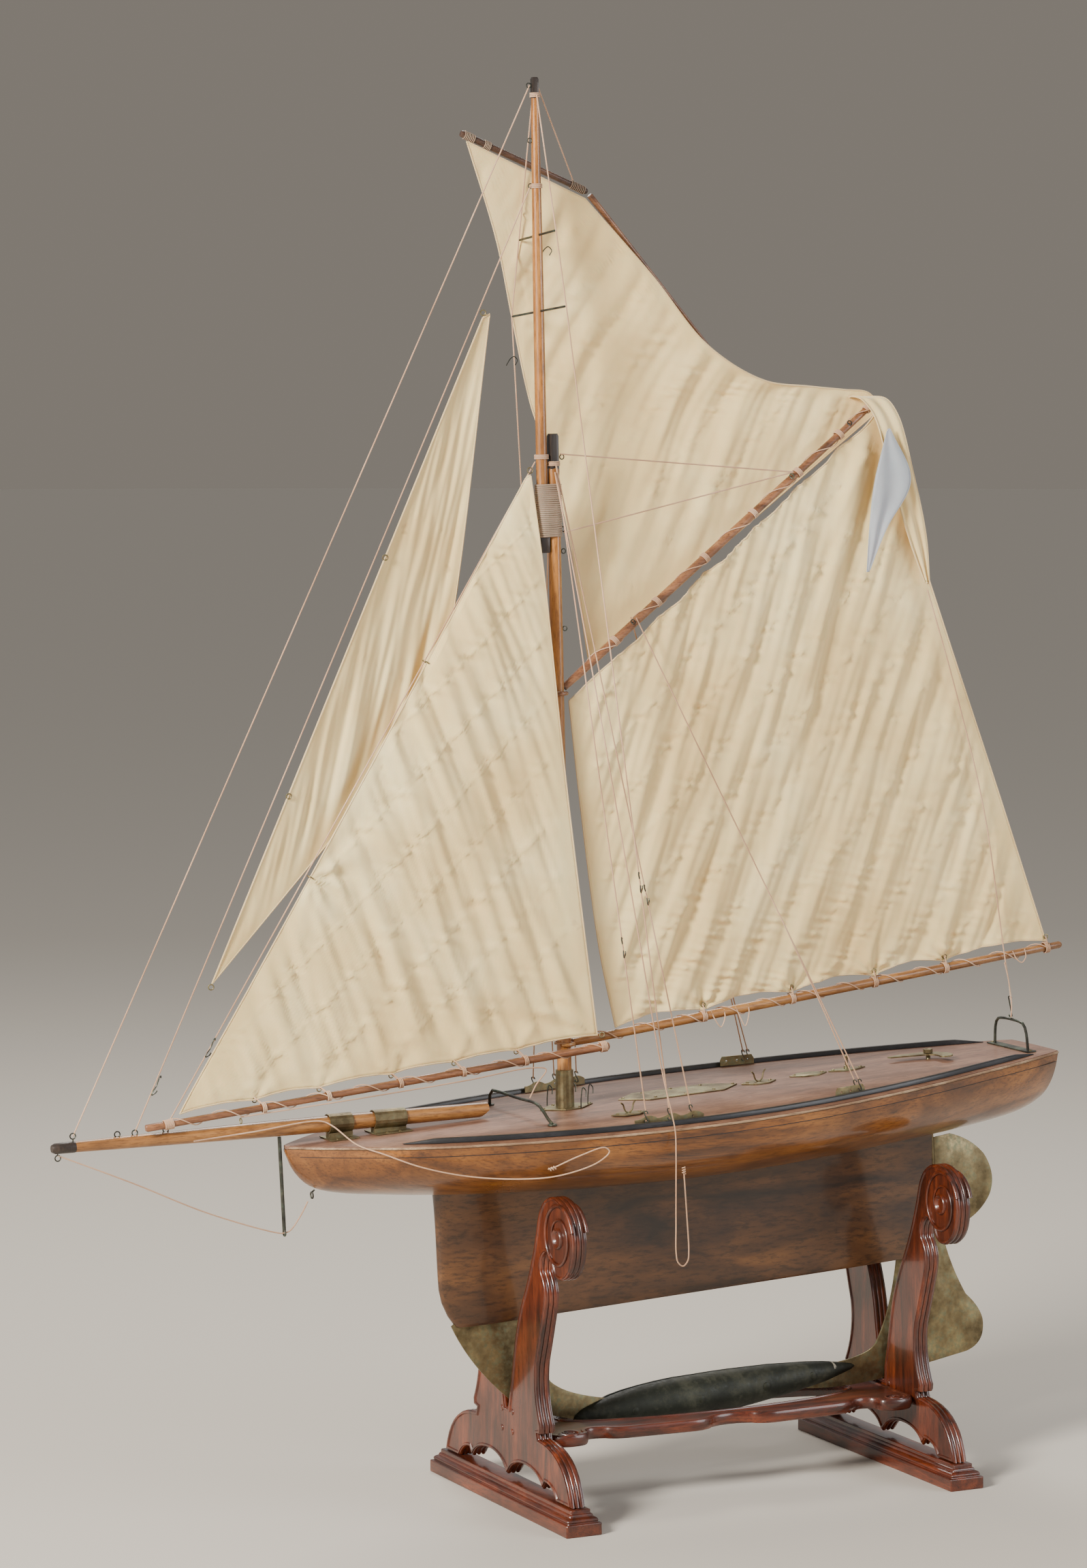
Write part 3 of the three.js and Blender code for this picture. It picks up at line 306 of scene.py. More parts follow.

# %% [markdown]
# A few shop tools make nearly everything. A piece is finished by carrying its bmesh to its
# place, giving it a material and naming the body it rides on. A smooth line through given
# points guides every cord, wire and sail edge. A loft lays a grid over rows of points and welds
# its seam, a rod pushes a circle along a line, and a turned piece spins a profile.

# %% Finishing a piece
def finish(name, bm, slot, body, replaces=(), place=BOAT, sharp=38, material=None):
    bmesh.ops.recalc_face_normals(bm, faces=bm.faces)
    bm.transform(place)
    mesh = bpy.data.meshes.new(name)
    bm.to_mesh(mesh)
    bm.free()
    mesh.materials.append(material or FINISHES[slot])
    mesh.shade_smooth()
    mesh.set_sharp_from_angle(angle=math.radians(sharp))
    piece = bpy.data.objects.new(name, mesh)
    bpy.context.scene.collection.objects.link(piece)
    if body:
        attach(piece, body)               # a piece without a body is left on no body
    if replaces:
        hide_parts(*replaces)
    return piece


# %% A smooth line through points
def line_point(points, t):
    last = len(points) - 1
    i = min(int(t * last), last - 1)
    w = t * last - i
    before, after = points[i], points[i + 1]
    first = points[i - 1] if i else before * 2 - after
    beyond = points[i + 2] if i + 2 <= last else after * 2 - before
    d0, d1, d2 = [max((b - a).length ** 0.5, 1e-4)
                  for a, b in ((first, before), (before, after), (after, beyond))]
    leave = ((before - first) / d0 - (after - first) / (d0 + d1) + (after - before) / d1) * d1
    arrive = ((after - before) / d1 - (beyond - before) / (d1 + d2) + (beyond - after) / d2) * d1
    return (before * (2 * w ** 3 - 3 * w ** 2 + 1) + leave * (w ** 3 - 2 * w ** 2 + w)
            + after * (3 * w ** 2 - 2 * w ** 3) + arrive * (w ** 3 - w ** 2))


def smooth_line(points, count):
    picked = [Vector(p) for p in points]
    return [line_point(picked, i / count) for i in range(count + 1)]


# %% Lofts, rods and turned pieces
def loft(rows, bm=None, caps=True, closed=True):
    """a grid laid over the rows of points, closed round its sides and capped at its ends"""
    bm = bm or bmesh.new()
    across, up = len(rows[0]) if closed else len(rows[0]) - 1, len(rows) - 1
    grid = {}
    for v in bmesh.ops.create_grid(bm, x_segments=across, y_segments=up, size=0.5)["verts"]:
        i, j = round((v.co.x + 0.5) * across), round((v.co.y + 0.5) * up)
        grid[j, i] = v
        v.co = rows[j][i % len(rows[0])]
    if closed:
        seam = {grid[j, across]: grid[j, 0] for j in range(up + 1)}
        bmesh.ops.weld_verts(bm, targetmap=seam)
        if caps:
            for j in (0, up):
                bm.faces.new([grid[j, i] for i in range(across)])
    return bm


def rod(points, radius, sides=10, bm=None):
    """a round wire or cord along the points; the radius may be one number or one for each"""
    bm = bm or bmesh.new()
    points = [Vector(p) for p in points]
    radii = radius if isinstance(radius, (list, tuple)) else [radius] * len(points)
    side = None
    rows = []
    for i, (point, r) in enumerate(zip(points, radii)):
        ahead = (points[min(i + 1, len(points) - 1)] - points[max(i - 1, 0)]).normalized()
        if side is None:
            side = ahead.orthogonal()
        side = (side - ahead * side.dot(ahead)).normalized()
        other = ahead.cross(side)
        rows.append([point + (side * math.cos(a) + other * math.sin(a)) * r
                     for a in (2 * math.pi * k / sides for k in range(sides))])
    return loft(rows, bm)


def turned(profile, steps=32, bm=None, place=None):
    """spins (radius, height) points about the local Z axis"""
    bm = bm or bmesh.new()
    start = len(bm.verts)
    verts = [bm.verts.new((max(r, 0.0), 0, z)) for r, z in profile]
    edges = [bm.edges.new(pair) for pair in zip(verts, verts[1:])]
    bmesh.ops.spin(bm, geom=verts + edges, cent=(0, 0, 0), axis=(0, 0, 1), angle=2 * math.pi,
                   steps=steps, use_merge=True)
    bm.verts.ensure_lookup_table()
    made = bm.verts[start:]
    bmesh.ops.remove_doubles(bm, verts=made, dist=1e-4)
    if place is not None:
        bm.verts.ensure_lookup_table()
        bmesh.ops.transform(bm, matrix=place, verts=bm.verts[start:])
    return bm


def aim(start, end):
    """local Z runs from one point to the other"""
    start, end = Vector(start), Vector(end)
    return Matrix.Translation(start) @ (end - start).to_track_quat("Z", "Y").to_matrix().to_4x4()


def shaft(rows, place, bm=None, sides=28):
    """rows of (height, half width, squareness); 2 is round and 8 nearly square"""
    made = []
    for height, half, squareness in rows:
        ring = []
        for k in range(sides):
            a = 2 * math.pi * (k + 0.5) / sides
            c, s = math.cos(a), math.sin(a)
            reach = half / (abs(c) ** squareness + abs(s) ** squareness) ** (1 / squareness)
            ring.append(place @ Vector((c * reach, s * reach, height)))
        made.append(ring)
    return loft(made, bm)


def winding(start, end, radius, turns, wire, bm=None, squash=1.0):
    """cord wound round the line between two points"""
    start, end = Vector(start), Vector(end)
    place = aim(start, end)
    length = (end - start).length
    count = max(int(turns * 12), 6)
    route = [place @ Vector((radius * math.cos(2 * math.pi * turns * i / count),
                             squash * radius * math.sin(2 * math.pi * turns * i / count),
                             length * i / count)) for i in range(count + 1)]
    return rod(route, wire, 6, bm)


def ring(centre, axis, radius, wire, bm=None, sides=20):
    place = aim(centre, Vector(centre) + Vector(axis))
    circle = [place @ Vector((radius * math.cos(a), radius * math.sin(a), 0))
              for a in (2 * math.pi * k / sides for k in range(sides + 1))]
    return rod(circle, wire, 8, bm)


print("shop tools ready")

# %% [markdown]
# Two cords aren't made fast: the jib's downhaul, which leaves the bowsprit, falls over the port
# bow and trails along the topsides, and a spare runner that hangs from the masthead over the
# rail. A free cord is a curve of one open spline with its real length. It repeats the
# route's points from the design and lies in the same place.

# %% The two loose cords
CORD = 1.8
RUNNER = [(22, -12, 818), (34, -70, 560), (46, -130, 270), (55, -172, 60), (57, -189, 10),
          (57, -196, -12), (56, -197, -40), (54, -197, -80), (52, -196, -130), (51, -195, -166),
          (53, -195, -178), (60, -195, -184), (67, -195, -178), (69, -195, -166), (68, -196, -120),
          (66, -197, -62)]
DOWNHAUL = [(-520, -14, 22), (-440, -14, 24), (-348, -13, 26), (-336, -18, 20), (-322, -66, 0),
            (-300, -92, -10), (-260, -118, -28), (-210, -142, -42), (-150, -164, -50),
            (-100, -178, -50), (-50, -188, -38), (-34, -190, -26), (-40, -190, -20),
            (-70, -186, -26), (-110, -178, -40)]


def free_cord(name, route, steps, node_name):
    curve = bpy.data.curves.new(name, "CURVE")
    curve.dimensions = "3D"
    curve.bevel_depth = CORD / 2 * MM
    curve.bevel_resolution = 3
    curve.use_fill_caps = True
    spline = curve.splines.new("POLY")
    places = [BOAT @ p for p in smooth_line(route, steps)]
    spline.points.add(len(places) - 1)
    for point, place in zip(spline.points, places):
        point.co = (*place, 1)
    spline.use_smooth = True
    curve.materials.append(cord_line)
    piece = bpy.data.objects.new(name, curve)
    bpy.context.scene.collection.objects.link(piece)
    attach(piece, "boat")
    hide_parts(node_name)
    length = sum((b - a).length for a, b in zip(places, places[1:]))
    tuple(places[0])
    print(name, "is", round(length, 3), "m long")
    return piece


runner_knot = finish("loose_runner_knot", winding((66.1, -196.9, -66), (65.9, -197.1, -57), 1.9, 3, 0.8),
                     "cord", "boat")
downhaul_turns = winding((-113, -177.4, -41), (-104, -179.4, -38.5), 1.9, 3, 0.8)
downhaul_knot = finish("loose_downhaul_knot", downhaul_turns, "cord", "boat")
free_cord("loose_runner_line", RUNNER, 150, "loose_runner")
free_cord("loose_downhaul_line", DOWNHAUL, 180, "loose_downhaul")

# %% [markdown]
# The hull is carved from the solid: a shallow canoe body with a long fin below it. A maker
# shapes it to a handful of templates, and so does this step: the half beam, the sheer and
# the depth at sixteen stations, with a smooth value between them. Each section becomes one loop,
# and a grid laid over the loops gives the planing-smooth skin.

# %% Hull lines
STATIONS = [
    (-394, 3, -1.5, -10), (-384, 13, -1.5, -34), (-364, 31, -2, -56), (-330, 58, -2.6, -69),
    (-270, 98, -4, -79), (-200, 128, -5.6, -88), (-100, 158, -7.4, -97), (0, 178, -8.6, -104),
    (130, 191, -9, -109), (260, 186, -8.4, -110), (380, 167, -6.6, -107), (480, 143, -4.8, -103),
    (560, 118, -3.2, -99), (640, 91, -2, -92), (700, 66, -1.5, -82), (714, 58, -1.5, -78)]
DECK_Z = -1
DECK_THICKNESS = 4.5


def fair(column, x):
    last = len(STATIONS) - 1
    i = 0
    while i < last - 1 and STATIONS[i + 1][0] < x:
        i += 1

    def slope(k):
        a, b = STATIONS[max(k - 1, 0)], STATIONS[min(k + 1, last)]
        return (b[column] - a[column]) / (b[0] - a[0])
    here, there = STATIONS[i], STATIONS[i + 1]
    span = there[0] - here[0]
    t = min(max((x - here[0]) / span, 0), 1)
    a, b, ma, mb = here[column], there[column], slope(i) * span, slope(i + 1) * span
    return a + ma * t + (3 * (b - a) - 2 * ma - mb) * t * t + (2 * (a - b) + ma + mb) * t ** 3


def half_beam(x):
    return fair(1, x)


def sheer(x):
    return fair(2, x)


def deck_top(x, y):
    return DECK_Z + (sheer(x) - DECK_Z) * (y / half_beam(x)) ** 2


def section_point(x, a):
    """a runs from -90 degrees at the port deck edge, under the keel, to 90 at starboard"""
    depth = max(sheer(x) - DECK_THICKNESS - fair(3, x), 2)
    y = max(half_beam(x), 1) * math.copysign(abs(math.sin(a)) ** 1.21, a)
    z = sheer(x) - DECK_THICKNESS - depth * max(math.cos(a), 0) ** 0.87
    return y, z


# %% Canoe body and fin
def hull_rows(count, around):
    rows = []
    for i in range(count + 1):
        u = i / count
        x = -394 + 1108 * u ** 1.35
        row = []
        for k in range(around + 1):
            y, z = section_point(x, (k / around - 0.5) * math.pi)
            back = (z - sheer(x)) * 0.2 * max(u - 0.97, 0) / 0.03
            row.append(Vector((x + back, y, z)))
        top = sheer(x) - DECK_THICKNESS
        beam = row[-1].y
        row += [Vector((x, beam * (1 - 2 * k / 8), top)) for k in range(1, 8)]
        rows.append(row)
    return rows


finish("hull_shell", loft(hull_rows(84, 56)), "hull_wood", "boat", replaces=["hull"], sharp=50)

FIN_FRONT, FIN_BACK, FIN_BOTTOM = -192, 541, -266


def fin_half(x, z, front):
    s = min(max((x - front) / 60, 0), 1)
    nose = 0.1 + 0.9 * math.sqrt(1 - (1 - s) ** 2)
    tail = min(1, 0.45 + (FIN_BACK - x) / 260)
    fairing = 14 * min(max((z + 150) / 60, 0), 1) ** 2
    rounding = 0.8 + 0.2 * min((z - FIN_BOTTOM) / 6, 1)
    return (13 + fairing) * nose * tail * rounding


def fin_rows():
    rows = []
    for z in (-266, -264.6, -262, -250, -232, -215, -200, -180, -160, -145, -132, -120, -108, -98, -90, -84):
        low = min(max((-200 - z) / 66, 0), 1)
        front = FIN_FRONT + 22 * low ** 2.5
        xs = [front + (FIN_BACK - front) * (k / 36) ** 1.8 for k in range(37)]
        port = [Vector((x, -fin_half(x, z, front), z)) for x in xs]
        starboard = [Vector((x, fin_half(x, z, front), z)) for x in reversed(xs)]
        rows.append(port + starboard)
    return rows


# The fin is the hull's own varnished wood, in a darker copy that paints in the shade below the canoe body.
finish("fin_shell", loft(fin_rows()), "hull_wood", "boat", sharp=60, material=painted_shade_fin_varnish)
print("hull length", 1108, "mm, beam", 2 * max(s[1] for s in STATIONS), "mm")

# %% [markdown]
# The deck is a thin cambered board, painted a dull pink brown. A grid takes the deck's outline
# and camber, and extruding it down gives its thickness. Its edge is worn pale all the way round,
# and a dark line of filler shows on the topsides where the top plank was glued on.

# %% Deck, its worn edge and the filler line
def deck_board():
    bm = bmesh.new()
    bmesh.ops.create_grid(bm, x_segments=96, y_segments=24, size=0.5)
    faces = bm.faces[:]
    for v in bm.verts:
        u, w = v.co.x + 0.5, v.co.y
        x = -393 + 1106 * max(u, 0) ** 1.35
        y = 2 * w * half_beam(x) * 0.985
        v.co = (x, y, deck_top(x, y))
    extruded = bmesh.ops.extrude_face_region(bm, geom=faces)
    for v in (g for g in extruded["geom"] if isinstance(g, bmesh.types.BMVert)):
        v.co.z = sheer(v.co.x) - DECK_THICKNESS + 0.35
    return bm


finish("deck_board", deck_board(), "deck_wood", "boat", replaces=["deck"], sharp=40)


def side_line(side, down, out, first, last, count=90):
    route = []
    for i in range(count + 1):
        x = first + (last - first) * (i / count) ** 1.2
        y, z = half_beam(x), sheer(x) - down
        if down > DECK_THICKNESS:
            share_down = min((down - DECK_THICKNESS) / (sheer(x) - DECK_THICKNESS - fair(3, x)), 1)
            a = math.acos(share_down ** (1 / 0.87))
            y, z = section_point(x, a)
        route.append((x, side * (y + out), z))
    return route


for word, side in (("port", -1), ("starboard", 1)):
    finish(f"{word}_worn_edge", rod(side_line(side, 2.6, -0.9, -390, 713), 1.7, 8), "hull_wood", "boat",
           material=worn_edge)
    finish(f"{word}_filler_line", rod(side_line(side, 14, 0.0, -380, 708), 0.45, 6), "black_wood", "boat")
transom_route = [(713.6, y, sheer(713) - 2.6) for y in range(-56, 57, 8)]
finish("transom_worn_edge", rod(transom_route, 1.7, 8), "hull_wood", "boat", material=worn_edge)
print("deck and its edges made")

# %% Black toe rails with tapered tips
def toe_rail(side):
    rows = []
    for i in range(81):
        u = i / 80
        x = -268 + 938 * u
        tip = min(1, 0.12 + min(u, 1 - u) * 22)
        y = half_beam(x) - 15
        foot = deck_top(x, y) + 0.4
        height, half = 6.4 * tip, 3.0 * (0.5 + 0.5 * tip)
        ring_points = [(-half, 0), (half, 0), (half, height * 0.8), (half * 0.6, height),
                       (-half * 0.6, height), (-half, height * 0.8)]
        rows.append([Vector((x, side * (y + a), foot + b)) for a, b in ring_points])
    return loft(rows)


for word, side in (("port", -1), ("starboard", 1)):
    finish(f"{word}_toe_rail", toe_rail(side), "black_wood", "boat", replaces=[f"{word}_rail"], sharp=50)
print("rails made")

# %% [markdown]
# The stand's boards are sawn to an outline and worked with a moulding along every edge. An
# outline is a few straight and curved steps, turned into a dense loop. The moulding is a list of
# depths across the thickness: each depth moves the loop inwards, and a grid laid over the loops
# gives the reeds, the way a scratch stock cuts them.

# %% Outlines and moulded boards
def outline(start, steps, fine=9):
    """steps are ('L', x, y) or ('Q', control x, control y, x, y), from the start point"""
    points = [Vector(start)]
    for kind, *q in steps:
        a = points[-1]
        if kind == "L":
            b = Vector(q)
            count = max(int((b - a).length / 12), 1)
            points += [a.lerp(b, i / count) for i in range(1, count + 1)]
        else:
            c, b = Vector(q[:2]), Vector(q[2:])
            points += [a * (1 - t) ** 2 + c * (2 * t * (1 - t)) + b * t ** 2
                       for t in (i / fine for i in range(1, fine + 1))]
    return points


def mirror_outline(points, axis):
    flip = Vector((-1, 1)) if axis == "x" else Vector((1, -1))
    other = [p * flip for p in reversed(points)]
    joined = points + other
    return [p for i, p in enumerate(joined) if (p - joined[i - 1]).length > 0.2]


def shrink(points, depth):
    area = sum(a.x * b.y - b.x * a.y for a, b in zip(points, points[1:] + points[:1]))
    turn = 1 if area > 0 else -1
    moved = []
    for i, p in enumerate(points):
        before, after = (p - points[i - 1]).normalized(), (points[(i + 1) % len(points)] - p).normalized()
        along = before + after
        if along.length < 0.3:
            moved.append(p + before * -depth)
            continue
        along.normalize()
        inward = Vector((-along.y, along.x)) * turn
        moved.append(p + inward * depth / max(along.dot(before), 0.5))
    return moved


def moulded_board(points, moulding, to_space):
    return loft([[to_space(p.x, p.y, across) for p in shrink(points, depth)] for across, depth in moulding])


def reeds(thickness, rounds=3, depth=1.8, lip=2.2, face=1.6):
    """a moulding of rounded reeds over the edge, a sunk line on each face and the flat between"""
    half = thickness / 2
    edge = [(half - face, lip + 5.5), (half - face, lip + 3.4), (half, lip + 2.2), (half, lip)]
    width = 2 * (half - 1.2) / rounds
    for k in range(rounds):
        top = half - 1.2 - k * width
        for j in range(7):
            a = math.pi * j / 6
            edge.append((top - width / 2 * (1 - math.cos(a)), depth * (1 - math.sin(a)) + 0.2))
    return edge + [(-half, lip), (-half, lip + 2.2), (face - half, lip + 3.4), (face - half, lip + 5.5)]


print("board tools ready")

# %% [markdown]
# Each end frame is a lyre: two arms that curl over at the top in scrolls, a deep slot between
# them for the keel plate, a waist, and two quartered feet with small pendants under the arch.

# %% End frames
FRAME_THICKNESS = 22
SLOT_FLOORS = {"fore": 126.1, "aft": 110.2}


def frame_half(slot_floor):
    steps = [("L", 5, 128), ("Q", 11, 152, 18, 190), ("Q", 26, 240, 52, 285), ("Q", 76, 330, 88, 375),
             ("Q", 94, 404, 112, 415), ("Q", 128, 424, 148, 419), ("Q", 186, 408, 190, 368),
             ("Q", 190, 330, 160, 318), ("Q", 140, 313, 132, 330), ("Q", 124, 350, 110, 346),
             ("Q", 94, 338, 98, 318), ("Q", 116, 300, 110, 276), ("Q", 100, 240, 86, 200),
             ("Q", 78, 160, 100, 120), ("L", 99, 110), ("L", 90, 108), ("L", 92, 102),
             ("Q", 170, 100, 186, 32.4), ("L", 144, 32.4), ("Q", 134, 50, 112, 50), ("L", 104, 40),
             ("Q", 94, 58, 60, 60), ("Q", 30, 62, 12, 50), ("L", 0, 38)]
    return outline((5, slot_floor), steps)


def scroll_roll(side, face, x):
    """the raised spiral on a scroll, winding in to its eye"""
    route = []
    for i in range(64):
        t = i / 63
        a = 0.3 + t * 3.3 * math.pi
        r = 33 * (1 - t) ** 0.8 + 12.5
        route.append((x + face * 10.3, side * (149 + r * math.cos(a) * 0.93), 370 + r * math.sin(a)))
    return rod(route, [2.8 - 1.3 * i / 63 for i in range(64)], 8)


def end_frame(end, sign):
    x = sign * FRAME_X
    board = mirror_outline(frame_half(SLOT_FLOORS[end]), "x")

    def to_space(y, z, across):
        return Vector((x + across, y, z))
    bm = moulded_board(board, reeds(FRAME_THICKNESS), to_space)
    finish(f"{end}_lyre_frame", bm, "mahogany", "stand", replaces=[f"{end}_end_frame"], place=STAND, sharp=42)
    trim = bmesh.new()
    for side in (-1, 1):
        for face in (-1, 1):
            piece = scroll_roll(side, face, x)
            join(trim, piece)
            eye = turned([(0, 0), (6.5, 0.2), (8.2, 1.6), (9.6, 4.4), (11.6, 5.2), (13.2, 4.0), (13.6, 0)],
                         28, place=Matrix.Translation((x + face * 8.2, side * 148, 370))
                         @ Matrix.Rotation(face * math.pi / 2, 4, "Y"))
            join(trim, eye)
            for down, out in ((58, 15), (84, 15)):
                seat = Matrix.Translation((x + face * 9.3, side * out, SLOT_FLOORS[end] - 58 + down - 30))
                plug = turned([(0, 1.2), (3.2, 1.1), (4.0, 0.5), (4.1, 0)], 20,
                              place=seat @ Matrix.Rotation(face * math.pi / 2, 4, "Y"))
                join(trim, plug)
    finish(f"{end}_scroll_carving", trim, "mahogany", "stand", place=STAND, sharp=50)


def join(target, extra):
    """moves everything in one bmesh into another"""
    mesh = bpy.data.meshes.new("joining")
    extra.to_mesh(mesh)
    extra.free()
    target.from_mesh(mesh)
    bpy.data.meshes.remove(mesh)


for end, sign in (("fore", -1), ("aft", 1)):
    end_frame(end, sign)
print("end frames made")

# %% [markdown]
# The foot bars are plinths with a stepped moulding that returns across their ends. A box is
# inset and pushed up again and again, which mitres the corners by itself.

# %% Foot bars
CORNER_CUT = 1.2


def foot_bar(x):
    def rectangle(inset, z):
        half_width, half_length = 25 - inset, 204 - inset
        in_width, in_length = half_width - CORNER_CUT, half_length - CORNER_CUT
        corners = [(-half_width, -in_length), (-in_width, -half_length), (in_width, -half_length),
                   (half_width, -in_length), (half_width, in_length), (in_width, half_length),
                   (-in_width, half_length), (-half_width, in_length)]
        return [Vector((x + a, b, z)) for a, b in corners]
    steps = [(0.6, 0), (0, 0.8), (0, 15), (0.5, 16), (3.6, 16.2), (3.9, 17.2), (3.2, 18.6),
             (3.4, 20), (4.6, 21.6), (6.4, 22.8), (8.4, 23.6), (8.6, 25.2), (9.4, 26.6), (10.8, 27.4),
             (10.9, 31.2), (11.8, 32)]
    bm = loft([rectangle(inset, z) for inset, z in steps])
    seams = [e for e in bm.edges if abs(e.verts[0].co.z - e.verts[1].co.z) < 0.01]
    bmesh.ops.bevel(bm, geom=seams, offset=0.25, affect="EDGES", segments=2, profile=0.5, material=-1)
    return bm


for end, sign in (("fore", -1), ("aft", 1)):
    finish(f"{end}_foot_plinth", foot_bar(sign * FRAME_X), "mahogany", "stand", replaces=[f"{end}_foot_bar"],
           place=STAND, sharp=32, material=mahogany_long)
print("foot bars made")

# %% [markdown]
# The stretcher is a scalloped board that ties the frames together. Its long oval opening has a
# stepped rim, and each corner carries a small spiral scroll.

# %% Stretcher
STRETCHER_Z = 96
OPENING = (215, 45)


def stretcher_side():
    reach = FRAME_X - FRAME_THICKNESS / 2 - 0.35
    steps = [("Q", reach - 4, -96, reach - 26, -98), ("Q", reach - 56, -98, reach - 54, -80),
             ("Q", reach - 60, -62, reach - 84, -72), ("Q", reach - 96, -84, reach - 120, -84),
             ("L", 60, -88), ("Q", 40, -88, 28, -76), ("Q", 0, -64, -28, -76), ("Q", -40, -88, -60, -88),
             ("L", 120 - reach, -84), ("Q", 96 - reach, -84, 84 - reach, -72),
             ("Q", 60 - reach, -62, 54 - reach, -80), ("Q", 56 - reach, -98, 26 - reach, -98),
             ("Q", 4 - reach, -96, -reach, -78)]
    return outline((reach, -78), steps)


def stretcher_board():
    board = mirror_outline(stretcher_side(), "y")

    def to_space(x, y, across):
        return Vector((x, y, STRETCHER_Z + across))
    bm = bmesh.new()
    rolled = [(8 * math.sin(a), 3.2 * (1 - math.cos(a)) + 0.1) for a in
              (math.radians(d) for d in range(75, -76, -15))]
    moulding = [(6.6, 9.6), (6.6, 7.6), (8.0, 6.4)] + rolled + [(-8.0, 6.4), (-6.6, 7.6), (-6.6, 9.6)]
    outer = [[to_space(p.x, p.y, across) for p in shrink(board, depth)] for across, depth in moulding]
    rim = [(6.6, 9), (6.6, 6.5), (8, 5.8), (8, 3), (6.6, 2.4), (6.4, 0.4), (5.4, 0), (-5.4, 0), (-6.6, 0.5),
           (-6.6, 6), (-6.6, 9)]
    count = 72
    inner = [[Vector(((OPENING[0] + out) * math.cos(2 * math.pi * k / count),
                      (OPENING[1] + out) * math.sin(2 * math.pi * k / count), STRETCHER_Z + across))
              for k in range(count)] for across, out in rim]
    loft(outer, bm, caps=False)
    loft(inner, bm, caps=False)
    bm.edges.ensure_lookup_table()
    for level in (6.6, -6.6):
        open_edges = [e for e in bm.edges if e.is_boundary
                      and all(abs(v.co.z - STRETCHER_Z - level) < 0.01 for v in e.verts)]
        bmesh.ops.triangle_fill(bm, use_beauty=True, edges=open_edges)
    return bm


mahogany_board = wood("polished_mahogany_board", *MAHOGANY_TONES, ALONG_X, 0.28, 0.55)
finish("stretcher_board", stretcher_board(), "mahogany", "stand", replaces=["stretcher"],
       place=STAND, sharp=40, material=mahogany_board)

corner_scrolls = bmesh.new()
for end in (-1, 1):
    for side in (-1, 1):
        centre = Vector((end * (FRAME_X - 40), side * 82, STRETCHER_Z + 7.2))
        spiral = [centre + Vector((end * (13 * (1 - t) + 2) * math.cos(4 * math.pi * t),
                                   side * (13 * (1 - t) + 2) * math.sin(4 * math.pi * t), 0))
                  for t in (i / 40 for i in range(41))]
        rod(spiral, 1.7, 8, corner_scrolls)
finish("stretcher_scrolls", corner_scrolls, "mahogany", "stand", place=STAND)
print("stretcher made")

# %% [markdown]
# The keel is a sheet of brass let into slots in the fin, with a painted ballast bulb in two
# halves, riveted through it. The bulb is a profile spun on its long axis; bisecting it on both
# sides of the plate makes the halves, and a little noise stands for knocks in soft metal.

# %% Keel plate, bulb and rudder
def thin_plate(points, thickness, bevel=0.4):
    bm = bmesh.new()
    verts = [bm.verts.new((p.x, -thickness / 2, p.y)) for p in points]
    face = bm.faces.new(verts)
    extruded = bmesh.ops.extrude_face_region(bm, geom=[face])
    moved = [g for g in extruded["geom"] if isinstance(g, bmesh.types.BMVert)]
    bmesh.ops.translate(bm, verts=moved, vec=(0, thickness, 0))
    rim = [e for e in bm.edges if abs(e.verts[0].co.y - e.verts[1].co.y) < 0.01]
    bmesh.ops.bevel(bm, geom=rim, offset=bevel, affect="EDGES", segments=2, profile=0.5, material=-1)
    return bm


plate_steps = [("L", -177, -264), ("Q", -152, -322, -100, -370), ("Q", -60, -398, -6, -411), ("L", 60, -424),
               ("L", 330, -420), ("Q", 420, -436, 528, -414), ("L", 586, -407), ("Q", 618, -400, 614, -366),
               ("Q", 610, -348, 589, -328), ("Q", 566, -286, 556, -240), ("L", 543, -240), ("L", 543, -246),
               ("L", 486, -246), ("Q", 476, -330, 446, -376), ("Q", 432, -394, 352, -394), ("L", 60, -394),
               ("Q", -16, -380, -40, -356), ("Q", -58, -330, -64, -246)]
finish("keel_sheet", thin_plate(outline((-150, -246), plate_steps, 12), 3), "brass", "boat",
       replaces=["keel_plate"])

BULB_RADII = [(0, 0), (3, 1.2), (7, 6), (11, 14), (17, 34), (22, 56), (25.5, 76), (27.8, 98), (29, 124),
              (29.4, 150), (29, 176), (28.2, 205), (27, 232), (25.3, 262), (23, 292), (20.2, 322),
              (17, 350), (13, 376), (8.5, 400), (4.5, 416), (0, 425)]
BULB_FORE = Vector((-10, 0, -410))
bulb_place = aim(BULB_FORE, Vector((415, 0, -401)))


def bulb_half(side):
    bm = turned(BULB_RADII, 48, place=bulb_place)
    for v in bm.verts:
        v.co += v.normal * noise.noise(v.co * 0.045) * 0.9
    cut = bmesh.ops.bisect_plane(bm, geom=bm.verts[:] + bm.edges[:] + bm.faces[:],
                                 plane_co=(0, side * 1.85, 0), plane_no=(0, -side, 0), clear_outer=True)
    edges = [g for g in cut["geom_cut"] if isinstance(g, bmesh.types.BMEdge)]
    bmesh.ops.holes_fill(bm, edges=edges, sides=0)
    for x in (70, 165, 265, 340):
        plug = turned([(0, 1.0), (4.2, 0.9), (5.2, 0.2), (5.3, -1.5)], 18)
        radius = [r for r, h in BULB_RADII if h <= x + 10][-1]
        turn = Matrix.Rotation(-side * math.pi / 2, 4, "X")
        seat = Matrix.Translation((x, side * (radius - 0.3), -409 + (x + 10) * 0.021))
        bmesh.ops.transform(plug, matrix=seat @ turn, verts=plug.verts)
        join(bm, plug)
    return bm


